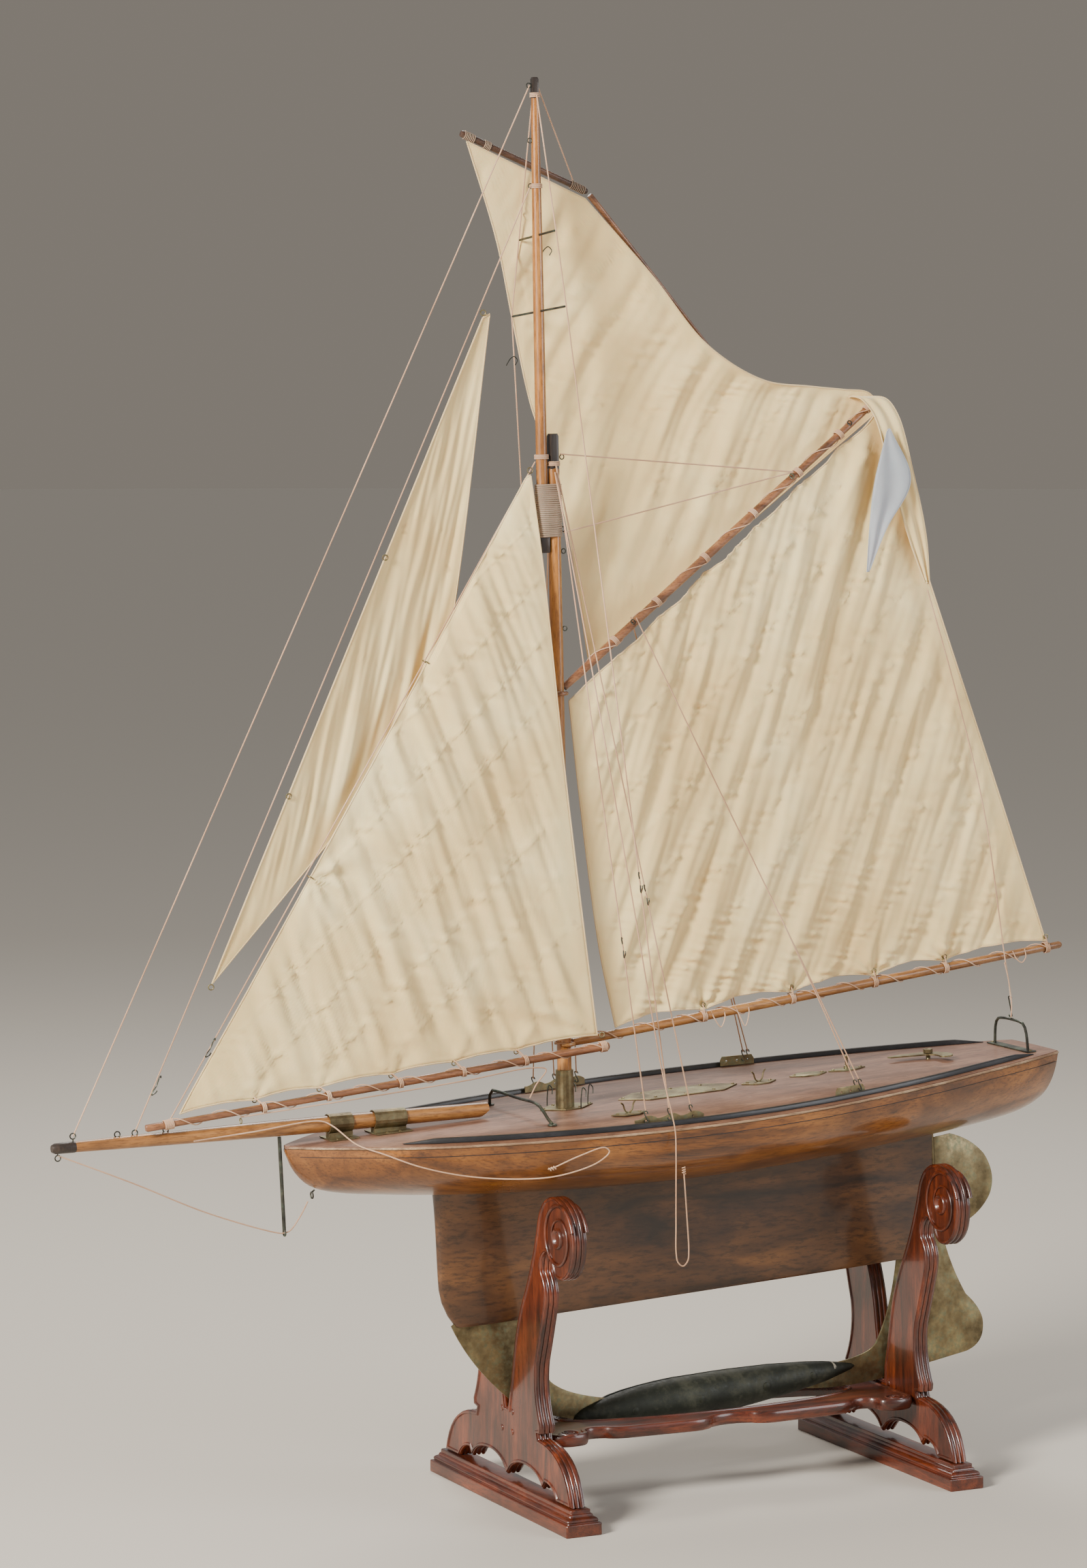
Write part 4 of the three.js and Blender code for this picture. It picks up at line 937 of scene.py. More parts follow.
for word, side in (("port", -1), ("starboard", 1)):
    finish(f"{word}_bulb_casting", bulb_half(side), "painted_lead", "boat", replaces=[f"bulb_{word}"])
chip_profile = [(3.2, 410), (6.6, 404), (8.8, 396), (11.2, 386), (10.2, 386), (8.0, 396), (5.8, 404),
                (3.0, 410)]
chip = turned(chip_profile, 40, place=bulb_place)
finish("bulb_tail_chip", chip, "painted_lead", "boat", material=chipped_white)

RUDDER_X = 545
blade_steps = [("L", 574, -106), ("Q", 606, -116, 626, -140), ("Q", 646, -172, 632, -198),
               ("Q", 614, -226, 577, -234), ("L", RUDDER_X + 3.35, -235)]
finish("rudder_sheet", thin_plate(outline((RUDDER_X + 3.35, -108), blade_steps, 12), 1.6, 0.3), "brass",
       "rudder", replaces=["rudder_blade"])
finish("rudder_shaft", turned([(0, -239), (2.4, -239), (3, -238), (3, 11), (2.4, 12), (0, 12)], 20,
                              place=Matrix.Translation((RUDDER_X, 0, 0))), "brass", "rudder",
       replaces=["rudder_stock"])
print("keel, bulb and rudder made")

# %% [markdown]
# A spar is turned round along most of its length and left square where fittings go. One shaft
# tool does both: its sections are rounder or squarer by one number. The lower mast ends in a
# squared dark head, the topmast in a stepped heel and a square tip.

# %% Masts
TOPMAST_X = -16.4
upright = Matrix.Identity(4)
lower_rows = [(1, 9.2, 2), (3, 9.4, 2), (60, 9.4, 2), (400, 9, 2), (700, 8.2, 2), (812, 7.6, 2),
              (820, 7.4, 3), (824, 6.3, 6), (826, 5.5, 8), (862, 5.3, 8), (866, 4.6, 6)]
finish("lower_mast_spar", shaft(lower_rows, upright), "spar_wood", "boat", replaces=["lower_mast"], place=RIG,
       material=mast_varnish)
finish("lower_masthead_cap", shaft([(822, 6.6, 6), (828, 6.3, 8), (864, 6.1, 8), (867, 5.2, 6)], upright),
       "dark_spar_wood", "boat", place=RIG)
topmast_axis = Matrix.Translation((TOPMAST_X, 0, 716))
top_rows = [(0, 5.6, 6), (2, 6.4, 8), (26, 6.4, 8), (28, 7.1, 2), (120, 7.2, 2), (320, 7, 2), (540, 5.4, 2),
            (572, 4.7, 2), (576, 4.1, 7), (597, 4.0, 8), (600, 3.0, 6)]
finish("topmast_spar", shaft(top_rows, topmast_axis), "spar_wood", "boat", replaces=["topmast"], place=RIG,
       material=mast_varnish)
finish("topmast_heel_block", shaft([(-0.2, 6.8, 7), (2, 7.2, 8), (22, 7.2, 8), (25, 6.6, 7)], topmast_axis),
       "dark_spar_wood", "boat", place=RIG)
finish("topmast_tip_cap", shaft([(574, 4.3, 7), (577, 4.4, 8), (598, 4.3, 8), (600.4, 3.2, 6)], topmast_axis),
       "dark_spar_wood", "boat", place=RIG)

lashing = bmesh.new()
for turn in range(27):
    z = 737 + turn * 2.5
    loop = [(9.2 * math.cos(a), 9.2 * math.sin(a), z + 0.35 * math.sin(3 * a + turn)) for a in
            (math.radians(d) for d in range(-90, 91, 18))]
    loop += [(TOPMAST_X + 8.9 * math.cos(a), 8.9 * math.sin(a), z) for a in
             (math.radians(d) for d in range(90, 271, 18))]
    rod(loop + loop[:1], 1.25, 6, lashing)
finish("masthead_lashing", lashing, "whipping_twine", "boat", replaces=["mast_lashing"], place=RIG)

SPREADERS = {"upper": (1118, 52, 0.09), "lower": (1022, 77, 0.07)}
for word, (z, reach, tilt) in SPREADERS.items():
    ends = [Vector((TOPMAST_X, side * reach, z - side * reach * tilt)) for side in (-1, 1)]
    finish(f"{word}_spreader_rod", rod([ends[0].lerp(ends[1], t) for t in (0, 0.02, 0.5, 0.98, 1)],
                                       [1.1, 1.5, 1.5, 1.5, 1.1], 12), "dark_wire", "boat",
           replaces=[f"{word}_spreader"], place=RIG)
print("masts made")

# %% Bowsprit, boom, gaff, yard and club
HEEL, TIP = Vector((-100, 0, 10.2)), Vector((-701, 0, 33))
bowsprit_place = aim(HEEL, TIP)
length = (TIP - HEEL).length
bow_rows = [(12, 9.4, 2), (60, 9.6, 2), (200, 10.4, 2), (320, 10.2, 2), (520, 7.6, 2), (length - 6, 6.2, 2),
            (length - 1, 5, 2), (length, 4, 2)]
bowsprit = shaft(bow_rows, bowsprit_place)
cut = bmesh.ops.bisect_plane(bowsprit, geom=bowsprit.verts[:] + bowsprit.edges[:] + bowsprit.faces[:],
                             plane_co=(-113, 0, 10), plane_no=(0.62, 0, -0.78), clear_outer=True)
heel_edges = [g for g in cut["geom_cut"] if isinstance(g, bmesh.types.BMEdge)]
bmesh.ops.holes_fill(bowsprit, edges=heel_edges, sides=0)
finish("bowsprit_spar", bowsprit, "spar_wood", "boat", replaces=["bowsprit"])
finish("bowsprit_tip_cap", shaft([(length - 30, 6.9, 2), (length - 29, 7.1, 2), (length - 4, 6.7, 2),
                                  (length + 0.3, 4.6, 2)], bowsprit_place), "dark_spar_wood", "boat")

RAKE_SLOPE = math.tan(math.radians(1.8))


def jawed_spar(name, node_name, z, end, radii, inner, body, material):
    start = Vector((z * RAKE_SLOPE, 0, z))
    end = Vector((end[0], 0, end[1]))
    place = aim(start, end)
    length = (end - start).length
    rows = [(h if h > 0 else length + h, r, 2) for h, r in radii]
    bm = shaft(rows, place)
    turn = Matrix.Translation(start) @ Matrix.Rotation(math.radians(1.8), 4, "Y")
    arc = [turn @ Vector(((inner + 2.3) * math.cos(a), (inner + 2.3) * math.sin(a), 0))
           for a in (math.radians(d) for d in range(-128, 129, 8))]
    thick = [1.5 + 1.1 * min(1, min(i, len(arc) - 1 - i) / 4) for i in range(len(arc))]
    rod(arc, thick, 12, bm)
    finish(name, bm, "spar_wood", body, replaces=[node_name], material=material)
    tie = [turn @ Vector(((inner + 1.4) * math.cos(a), (inner + 1.4) * math.sin(a), 2.4))
           for a in (math.radians(d) for d in range(100, 261, 8))]
    finish(f"{name}_parrel", rod(tie, 0.9, 8), "cord", body)


jawed_spar("boom_spar", "boom", 82, (760, 131.6),
           [(12.6, 5.0), (40, 5.7), (200, 6.3), (480, 6.2), (-60, 5.3), (-3, 4.9), (-0.01, 3.2)], 10.2,
           "boom", spar_varnish)
jawed_spar("gaff_spar", "gaff", 535, (500, 880),
           [(12, 4.6), (40, 5.5), (300, 5.6), (-60, 4.6), (-3, 4.1), (-0.01, 2.7)], 9.6, "gaff", gaff_varnish)

YARD_FORE, YARD_KNEE, YARD_TIP = Vector((-62, 41, 1250.5)), Vector((112, 40, 1171)), Vector((343, 46, 890))


def plain_spar(name, node_name, start, end, radii, squares=(2, 2), body="boat", slot="spar_wood",
               material=None):
    length = (Vector(end) - Vector(start)).length
    (r0, r1), (s0, s1) = radii, squares
    rows = [(0, r0 * 0.8, s0), (1.5, r0, s0), (24, r0, s0), (26, r0, 2), (length - 26, r1, 2),
            (length - 24, r1, s1), (length - 1.5, r1, s1), (length, r1 * 0.7, s1)]
    return finish(name, shaft(rows, aim(start, end), sides=24), slot, body, replaces=[node_name],
                  material=material)


plain_spar("yard_spar", "topsail_yard", YARD_FORE, YARD_KNEE, (4.4, 4.0), slot="dark_spar_wood",
           material=wood("yard_brown", (0.03, 0.014, 0.008), (0.085, 0.036, 0.018), (0.15, 0.07, 0.035),
                         ALONG_X, 0.42, 0.3, turn=(0, 0.4, 0)))
plain_spar("club_spar", "topsail_club", YARD_KNEE.lerp(YARD_TIP, 0.015), YARD_TIP, (4.0, 1.8),
           material=gaff_varnish)
plain_spar("jib_club_spar", "jib_club", (-581, -10, 45), (52, -30, 78), (4.2, 5.4), (7, 2), "jib",
           material=gaff_varnish)
knee = bmesh.new()
toward = (YARD_KNEE - YARD_FORE).normalized()
winding(YARD_KNEE - toward * 26, YARD_KNEE - toward * 4, 4.9, 9, 0.8, knee)
winding(YARD_FORE + toward * 4, YARD_FORE + toward * 20, 5.1, 7, 0.8, knee)
winding(YARD_FORE + toward * 34, YARD_FORE + toward * 44, 5.1, 5, 0.8, knee)
finish("yard_whippings", knee, "whipping_twine", "boat")
print("spars made")

# %% [markdown]
# The sails are cotton, sewn from narrow cloths. Each sail is a grid laid between two smooth
# edges, then moved point by point as the cloth moves: the belly of the sail, puckers along every
# seam where the thread has drawn up, long soft folds, and fans that spread from each
# lashing. No simulation is run: shaping the folds directly keeps each pucker on its own seam.

# %% How cotton folds
def soft_folds(x, z, slope, width, height, seed):
    """long folds that lie along a direction, slope degrees above the deck"""
    c, s = math.cos(math.radians(slope)), math.sin(math.radians(slope))
    across, along = z * c - x * s, x * c + z * s
    wide = noise.noise(Vector((across / width, along / 260, seed)))
    fine = noise.noise(Vector((across / (width * 0.38), along / 120, seed + 9)))
    return height * (wide + 0.35 * fine)


def puckers(x, z, slope, spacing, height, seed, lean=0.6):
    """a sewn seam every so far, with small gathers on both sides of it"""
    c, s = math.cos(math.radians(slope)), math.sin(math.radians(slope))
    across, along = z * c - x * s, x * c + z * s
    row = math.floor(across / spacing + 0.5)
    off = across - row * spacing
    gather = noise.noise(Vector(((along + lean * off) / 8.5, row * 5.3, seed)))
    crease = -0.7 * math.exp(-(off / 1.8) ** 2)
    return height * gather * math.exp(-abs(off) / 8.5) + crease


def fans(x, z, points, height, reach, folds, turn=0.0):
    """creases that spread from the points where the cloth is held"""
    total = 0
    for k, (px, pz) in enumerate(points):
        away = math.hypot(x - px, z - pz)
        bearing = math.atan2(z - pz, x - px)
        total += (height * math.cos(bearing * folds + k + turn) * math.exp(-away / reach)
                  * min(away / 14, 1))
    return total


def scallop(along, stops, height):
    """how far an edge lifts between the points where it is tied down"""
    for a, b in zip(stops, stops[1:]):
        if a <= along <= b:
            return height * math.sin(math.pi * (along - a) / (b - a)) ** 0.8
    return 0.0


# %% A sail as a grid between its luff and its leech
def make_sail(name, sail, columns, rows, fold, body, slot="canvas", replaces=(),
              hem=1.1):
    luff, leech = [[Vector(p) for p in sail[edge]] for edge in ("luff", "leech")]

    def place(u, v):
        p = line_point(luff, v).lerp(line_point(leech, v), u)
        push, lift = fold(u, v, p)
        return p + Vector((0, push, lift))
    bm = bmesh.new()
    bmesh.ops.create_grid(bm, x_segments=columns, y_segments=rows, size=0.5)
    for v in bm.verts:
        v.co = place(v.co.x + 0.5, v.co.y + 0.5)
    area = sum(f.calc_area() for f in bm.faces) * MM * MM
    sheet = finish(name, bm, slot, body, replaces=replaces, sharp=80)
    thick = sheet.modifiers.new("cloth_thickness", "SOLIDIFY")
    thick.thickness = 0.0006
    thick.offset = 0
    around = [(t, 0) for t in steps(columns)] + [(1, t) for t in steps(rows)]
    around += [(1 - t, 1) for t in steps(columns)] + [(0, 1 - t) for t in steps(rows)]
    edge = [place(u, v) for u, v in around]
    edge = [p for i, p in enumerate(edge) if i == 0 or (p - edge[i - 1]).length > 0.8]
    hem_piece = finish(f"{name}_hem", rod(edge + edge[:1], hem, 6), slot, body,
                       material=bunting if slot == "bunting" else canvas_hem)
    return place, sheet, hem_piece


def steps(count):
    return [i / count for i in range(count)]


# %% Mainsail
BOOM_TIES = [78, 207, 340, 466, 576, 736]
GAFF_TIES = [(102, 588), (166, 634), (239, 690), (313, 745), (382, 795), (446, 839), (500, 862)]
MAINSAIL = {"luff": [(78, 0, 95), (60, 0, 200), (43, 0, 380), (33, 0, 524)],
            "leech": [(736, 0, 139), (676, 0, 330), (588, 0, 600), (503, 0, 866)]}


def boom_top(x):
    return 82 + (131.6 - 82) * x / 760 + 6


def mainsail_fold(u, v, p):
    quiet = min(1, u * 14, (1 - u) * 14)
    push = -9 * math.sin(math.pi * u) * math.sin(math.pi * v)
    push += quiet * (soft_folds(p.x, p.z, 68, 27, 9.0, 3) + puckers(p.x, p.z, 42, 56, 7.5, 1)
                     + fans(p.x, p.z, [(x, boom_top(x)) for x in BOOM_TIES], 3.4, 48, 7))
    push += quiet * fans(p.x, p.z, GAFF_TIES, 1.6, 30, 6)
    lift = (scallop(p.x, BOOM_TIES, 9) * (1 - v) ** 14 - scallop(p.x, [t[0] for t in GAFF_TIES], 4) * v ** 20)
    return push, lift


make_sail("mainsail_cloth", MAINSAIL, 190, 190, mainsail_fold, "boom", replaces=["mainsail"])

# %% Jib
JIB_TIES = [(-532, 56), (-433, 59), (-346, 63), (-248, 69), (-161, 75), (-74, 80), (40, 92)]
JIB_HANKS = [(-340, 333), (-268, 438), (-167, 590)]
JIB = {"luff": [(-532, -2, 56), (-268, -2, 438), (-12, -2, 816)],
       "leech": [(40, -22, 92), (14, -19, 421), (-2, -14, 700), (-9, -5, 816)]}


def jib_fold(u, v, p):
    quiet = min(1, u * 10, (1 - u) * 10, v * 12 + 0.35)
    push = -6 * math.sin(math.pi * u) * math.sin(math.pi * v)
    taper = min(1, (1 - v) * 4)
    push += quiet * taper * (soft_folds(p.x, p.z, 108, 24, 9.0, 11) + puckers(p.x, p.z, 41, 58, 6.5, 5)
                             + fans(p.x, p.z, JIB_TIES[1:], 4.0, 42, 6)
                             + fans(p.x, p.z, [(40, 92)], 5.0, 160, 13)
                             + fans(p.x, p.z, [(-340, 333)], 4.5, 80, 8))
    lift = scallop(p.x, [t[0] for t in JIB_TIES], 4) * (1 - v) ** 14
    return push, lift


make_sail("jib_cloth", JIB, 120, 190, jib_fold, "jib", replaces=["jib"])

# %% Flying jib
FLYING_JIB = {"luff": [(-478, 2, 213), (-268, 2, 620), (-60, 2, 1022)],
              "leech": [(-150, 27, 516), (-118, 18, 640), (-52, 3, 1022)]}


def flying_jib_fold(u, v, p):
    quiet = min(1, u * 8, (1 - u) * 8, (1 - v) * 6, v * 6)
    push = 5 * math.sin(math.pi * u) * math.sin(math.pi * v)
    push += quiet * (soft_folds(p.x, p.z, 74, 22, 8.5, 21) + puckers(p.x, p.z, -32, 190, 0.8, 8)
                     + fans(p.x, p.z, [(-478, 213)], 3, 150, 12))
    return push, 0


make_sail("flying_jib_cloth", FLYING_JIB, 80, 170, flying_jib_fold, "flying_jib", replaces=["flying_jib"])

# %% Topsail, its corner drawn over the gaff, and the pennant
TOPSAIL = {"luff": [(78, 28, 569), (66, 46, 738), (60, 74, 827), (44, 92, 900), (25, 96, 1012),
                    (-8, 64, 1115), (-56, 37, 1240)],
           "leech": [(524, 22, 872), (506, 22.4, 893), (470, 24, 899), (420, 26, 906), (350, 26, 918),
                     (270, 27, 968), (196, 30, 1060), (106, 34, 1162)]}
TAIL = {"luff": [(560, -13, 640), (538, -14, 700), (512, -16, 790), (492, -15, 864), (478, -8, 886),
                 (474, 6, 890), (476, 22.4, 889)],
        "leech": [(567, -13, 637), (564, -14, 700), (546, -16, 790), (528, -15, 862), (516, -8, 884),
                  (508, 6, 888), (500, 22.4, 887)]}
PENNANT = {"luff": [(467, -22, 660), (474, -24, 720), (484, -24, 780), (507, -22, 846)],
           "leech": [(471, -22, 660), (498, -24, 716), (538, -24, 778), (511, -22, 846)]}


def topsail_fold(u, v, p):
    quiet = min(1, u * 10, (1 - u) * 10, v * 10, (1 - v) * 10)
    return quiet * (soft_folds(p.x, p.z, 62, 28, 9.0, 31) + puckers(p.x, p.z, 44, 62, 6.0, 12)
                    + fans(p.x, p.z, [(78, 569)], 2.6, 110, 10)), 0


def tail_fold(u, v, p):
    quiet = min(1, u * 6 + 0.2, (1 - u) * 6 + 0.2, (1 - v) * 5)
    return quiet * 2.2 * math.sin(u * 11 + v * 3), 0


def pennant_fold(u, v, p):
    return 1.8 * math.sin(u * 9 + v * 5) * math.sin(math.pi * v), 0


def blend_on_gaff(piece):
    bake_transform(piece)


_, top_sheet, top_hem = make_sail("topsail_cloth", TOPSAIL, 130, 130, topsail_fold, None,
                                  replaces=["topsail"])
make_sail("topsail_corner", TAIL, 16, 70, tail_fold, "gaff")
for piece in (top_sheet, top_hem):
    blend_on_gaff(piece)
make_sail("pennant_cloth", PENNANT, 16, 50, pennant_fold, "gaff", slot="bunting", replaces=["pennant"],
          hem=0.5)

# %% [markdown]
# Standing rigging is plain line, drawn tight between its eyes. Each line stands for the plain
# tube in the design and takes the same route. The vangs, the gaff's halyard and the topsail's
# sheet join two bodies that turn, so they ride on no body.

# %% Standing rigging
def tight_line(name, routes, node_name, body="boat", radius=CORD / 2, count=24, slot="cord"):
    bm = bmesh.new()
    for route in routes:
        rod(smooth_line(route, count), radius, 8, bm)
    return finish(name, bm, slot, body, replaces=[node_name] if node_name else [])


def collar(x, z, radius):
    bm = bmesh.new()
    for k in range(3):
        ring(in_boat(x, 0, z + 2.0 * k - 2), in_boat(0, 0, 1) - in_boat(0, 0, 0), radius, 0.95, bm)
    return bm


MASTHEAD = in_boat(TOPMAST_X - 7, 0, 1306)
tight_line("topmast_forestay_line", [[(-673, 0, 45), MASTHEAD]], "topmast_forestay")
tight_line("flying_jib_stay_line", [[(-592, 0, 40), in_boat(TOPMAST_X - 8.2, 0, 1180)]], "flying_jib_stay")
tight_line("jib_stay_line", [[(-551, 0, 41), in_boat(TOPMAST_X - 9, 0, 832)]], "jib_stay")
BOBSTAY = [(-694, 0, 24), (-600, 0, -22), (-500, 0, -74), (-408, 0, -111), (-400, 0, -112), (-392, 0, -110),
           (-376, 0, -92), (-366, 0, -76)]
tight_line("bobstay_line", [BOBSTAY], "bobstay", count=48)


def plate_hook(x, y):
    return Vector((x, y, deck_top(x, abs(y)) + 18))


lower_routes, top_routes = [], []
for side in (-1, 1):
    lower_routes += [[in_boat(0, side * 7.7, 829), plate_hook(x, side * 162)] for x in (98, 34)]
    upper, lower = [in_boat(TOPMAST_X, side * (reach + 1.6), z - side * (reach + 1.6) * tilt)
                    for z, reach, tilt in SPREADERS.values()]
    top_routes += [[in_boat(TOPMAST_X, side * 6, 1294), upper], [upper, lower],
                   [lower, plate_hook(66, side * 164)]]
tight_line("lower_shroud_lines", lower_routes, "lower_shrouds")
tight_line("topmast_shroud_lines", top_routes, "topmast_shrouds")
finish("lower_shroud_collar", collar(0, 829, 8.3), "cord", "boat")
finish("topmast_shroud_collar", collar(TOPMAST_X, 1294, 5.9), "cord", "boat")
finish("topmast_stay_collar", collar(TOPMAST_X, 1180, 7.0), "cord", "boat")
finish("jib_stay_collar", collar(TOPMAST_X, 838, 8.6), "cord", "boat")

# %% Running rigging
for word, side in (("port", -1), ("starboard", 1)):
    top, foot = Vector((131, side * 7.5, 624)), Vector((352, side * 151, deck_top(352, 153) + 18))
    split = foot.lerp(top, 0.34)
    second = [foot + Vector((-7, 0, 0)), foot.lerp(split, 0.5) + Vector((-2.5, 0, 0)), split]
    vang = tight_line(f"{word}_vang_line", [[foot, foot.lerp(top, 0.5), top], second], f"{word}_vang", None,
                      count=30)
    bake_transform(vang)
EYE = Vector((371, -7.5, 797))
halyard = tight_line("gaff_halyard_line", [[in_boat(8.2, -4, 841), EYE], [in_boat(11.6, -4, 741), EYE]],
                     "gaff_halyard", None, count=30)
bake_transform(halyard)
tight_line("topsail_halyard_line", [[in_boat(TOPMAST_X + 6, 4, 1306), (93, 40, 1186)]], "topsail_halyard")
SHEET = [(564, -13, 629), (600, -12, 500), (640, -10, 330), (664, -10, 130), (675, -6, 62), (676, -2, 41)]
topsail_sheet = tight_line("topsail_sheet_line", [SHEET, [(664, -10, 118), (670, -9, 92), (674, -6, 66)]],
                           "topsail_sheet", None, count=60)
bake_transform(topsail_sheet)
JIB_SHEET = [(-457, -16, 45), (-300, -22, 50), (-150, -26, 56), (-60, -30, 62), (-40, -32, 58),
             (-55, -32, 40), (-65, -32, 24)]
jib_sheet = tight_line("jib_sheet_line", [JIB_SHEET], "jib_sheet", None, count=60)
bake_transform(jib_sheet)
print("rigging made")

# %% [markdown]
# Lashings, eyelets, hanks, eyes and bowsies are small, but they are what makes a pond yacht
# look sailed. Each kind is one short tool: a winding round a spar, a ring, a bent wire, and a
# bowsie, which is the slider that sets a line's length.

# %% Lashings and lacings on the spars
def spar_point(start, end, x):
    start, end = Vector(start), Vector(end)
    return start.lerp(end, (x - start.x) / (end.x - start.x))


def lash(bm, start, end, x, radius, turns=4, width=7.0, wire=0.85):
    along = (Vector(end) - Vector(start)).normalized()
    middle = spar_point(start, end, x)
    winding(middle - along * width / 2, middle + along * width / 2, radius, turns, wire, bm)
    return middle


BOOM = ((82 * RAKE_SLOPE, 0, 82), (760, 0, 131.6))
GAFF = ((535 * RAKE_SLOPE, 0, 535), (500, 0, 880))
CLUB = ((-581, -10, 45), (52, -30, 78))

boom_ties, boom_rings = bmesh.new(), bmesh.new()
for x in BOOM_TIES[1:]:
    middle = lash(boom_ties, *BOOM, x, 7.2, 4)
    edge = Vector((x, 0, boom_top(x) + 7))
    rod(smooth_line([middle + Vector((0, -6.5, 2)), edge + Vector((-1, -3, 1)), edge + Vector((1, 2.5, 1)),
                     middle + Vector((0, 6.5, 2))], 12), 0.8, 6, boom_ties)
    ring(edge + Vector((0, -1.2, 2)), (0, 1, 0), 3.0, 0.75, boom_rings)
winding(spar_point(*BOOM, 40), spar_point(*BOOM, 735), 7.3, 11.5, 0.8, boom_ties)
for x, drop in ((226, 17), (262, 22), (690, 12)):
    middle = spar_point(*BOOM, x)
    bight = [(-9, -4, 4), (-6, -8, -6), (2, -9, -drop), (9, -8, -5), (10, -4, 5)]
    rod(smooth_line([middle + Vector(p) for p in bight], 20), 0.8, 6, boom_ties)
finish("boom_lacing", boom_ties, "cord", "boom")
finish("boom_eyelets", boom_rings, "brass", "boom")

gaff_ties, gaff_rings = bmesh.new(), bmesh.new()
for x, z in GAFF_TIES[:-1]:
    middle = lash(gaff_ties, *GAFF, x, 6.5, 4)
winding(spar_point(*GAFF, 60), spar_point(*GAFF, 488), 6.5, 6.5, 0.75, gaff_ties)
lash(gaff_ties, *GAFF, 492, 5.4, 7, 12)
finish("gaff_lacing", gaff_ties, "cord", "gaff")
for x, z in ((129, 624), (371, 797), (461, 864)):
    middle = spar_point(*GAFF, x)
    ring(middle + Vector((-3, -8.4, 4)), (0.8, 0.4, 0.3), 3.2, 0.8, gaff_rings)
    rod([middle + Vector((-1.5, -2, 2)), middle + Vector((-3, -5.6, 3.4))], 0.9, 8, gaff_rings)
finish("gaff_screw_eyes", gaff_rings, "dark_wire", "gaff")

club_ties, club_rings = bmesh.new(), bmesh.new()
for x, z in JIB_TIES[1:-1]:
    middle = lash(club_ties, *CLUB, x + 8, 6.2, 3, 6)
    ring((x, -3 - (x + 532) * 0.03, z + 3), (0, 1, 0), 3.0, 0.75, club_rings)
    rod(smooth_line([middle + Vector((0, -5, 3)), Vector((x, -6 - (x + 532) * 0.03, z + 6)),
                     Vector((x, 0 - (x + 532) * 0.03, z + 6)), middle + Vector((0, 5, 3))], 12),
        0.75, 6, club_ties)
winding(spar_point(*CLUB, -560), spar_point(*CLUB, 40), 6.4, 9.5, 0.75, club_ties)
lash(club_ties, *CLUB, -551, 5.8, 8, 12)
lash(club_ties, *CLUB, 44, 6.6, 5, 9)
finish("club_lacing", club_ties, "cord", "jib")
ring((-457, -16, 40), (1, 0, 0), 3.4, 0.8, club_rings)
ring((46, -24, 92), (0, 1, 0), 3.2, 0.8, club_rings)
for x, z in JIB_HANKS[:1] + JIB_HANKS[2:]:
    ring((x, -2, z), (0.57, 0, 0.82), 4.2, 0.8, club_rings)
ring((-9, -4, 822), (0, 1, 0), 3.6, 0.8, club_rings)
finish("jib_rings", club_rings, "brass", "jib")

flying_rings = bmesh.new()
for x, z in ((-480, 209), (-362, 437), (-214, 725), (-62, 1024)):
    ring((x, 1, z), (0.2, 1, 0.1), 3.4, 0.8, flying_rings)
finish("flying_jib_rings", flying_rings, "brass", "flying_jib")
print("lashings made")

# %% Bowsies, hooks and eyes
def wire_shape(points, bm, count=16, radius=0.8):
    return rod(smooth_line(points, count), radius, 8, bm)


def bowsie(bm, at, along):
    """a bent wire slider: two arms with an eye at each end"""
    at, along = Vector(at), Vector(along).normalized()
    out = along.orthogonal().normalized()
    wire_shape([at - along * 12 + out * 2.2, at - along * 13 - out * 1.2, at - along * 9 - out * 1.8,
                at + out * 0.8, at + along * 10 - out * 1.6, at + along * 13, at + along * 11 + out * 2.4],
               bm, 26)
    wire_shape([at - along * 12 + out * 2, at - along * 8 + out * 7, at - along * 5 + out * 7.5], bm, 10)


def s_hook(bm, top, bottom, radius=0.8):
    top, bottom = Vector(top), Vector(bottom)
    along = (top - bottom).normalized()
    out = along.cross(STARBOARD).normalized() * 2.6
    wire_shape([top - along * 3 - out, top - out * 0.4, top + out * 0.8, top - along * 4 + out * 0.6,
                bottom + along * 4 - out * 0.6, bottom - out * 0.8, bottom + out * 0.4,
                bottom + along * 3 + out], bm, 30, radius)


hooks = bmesh.new()
for side in (-1, 1):
    for x, y in ((98, 162), (34, 162), (66, 164), (352, 151), (345, 151)):
        eye = plate_hook(x, side * y)
        s_hook(hooks, eye + Vector((0, 0, 2)), eye + Vector((0, 0, -12)))
for route, height in ((lower_routes[0], 280), (lower_routes[1], 218), (top_routes[2], 301),
                      (lower_routes[2], 262), (lower_routes[3], 230), (top_routes[5], 290)):
    a, b = Vector(route[0]), Vector(route[-1])
    bowsie(hooks, b.lerp(a, (height - b.z) / (a.z - b.z)), a - b)
bowsie(hooks, (-486, -1, 134), (0.53, 0, 0.85))
bowsie(hooks, (-560, 0, 95), (0.5, 0, 0.86))
BENT_HOOK = ((-8, 0, -4), (-2, 0, 4), (4, 1, 7), (8, 0, 2), (4, -1, -4))
for at in ((30, 0, 1096), (4.5 - 30, 0, 960)):
    wire_shape([Vector(at) + Vector(p) for p in BENT_HOOK], hooks, 20, 0.7)
finish("wire_bowsies", hooks, "dark_wire", "boat")

sheet_hook = bmesh.new()
s_hook(sheet_hook, (674, -4, 70), (676, -1, 42), 0.9)
finish("stern_sheet_hook", sheet_hook, "dark_wire", "boat")

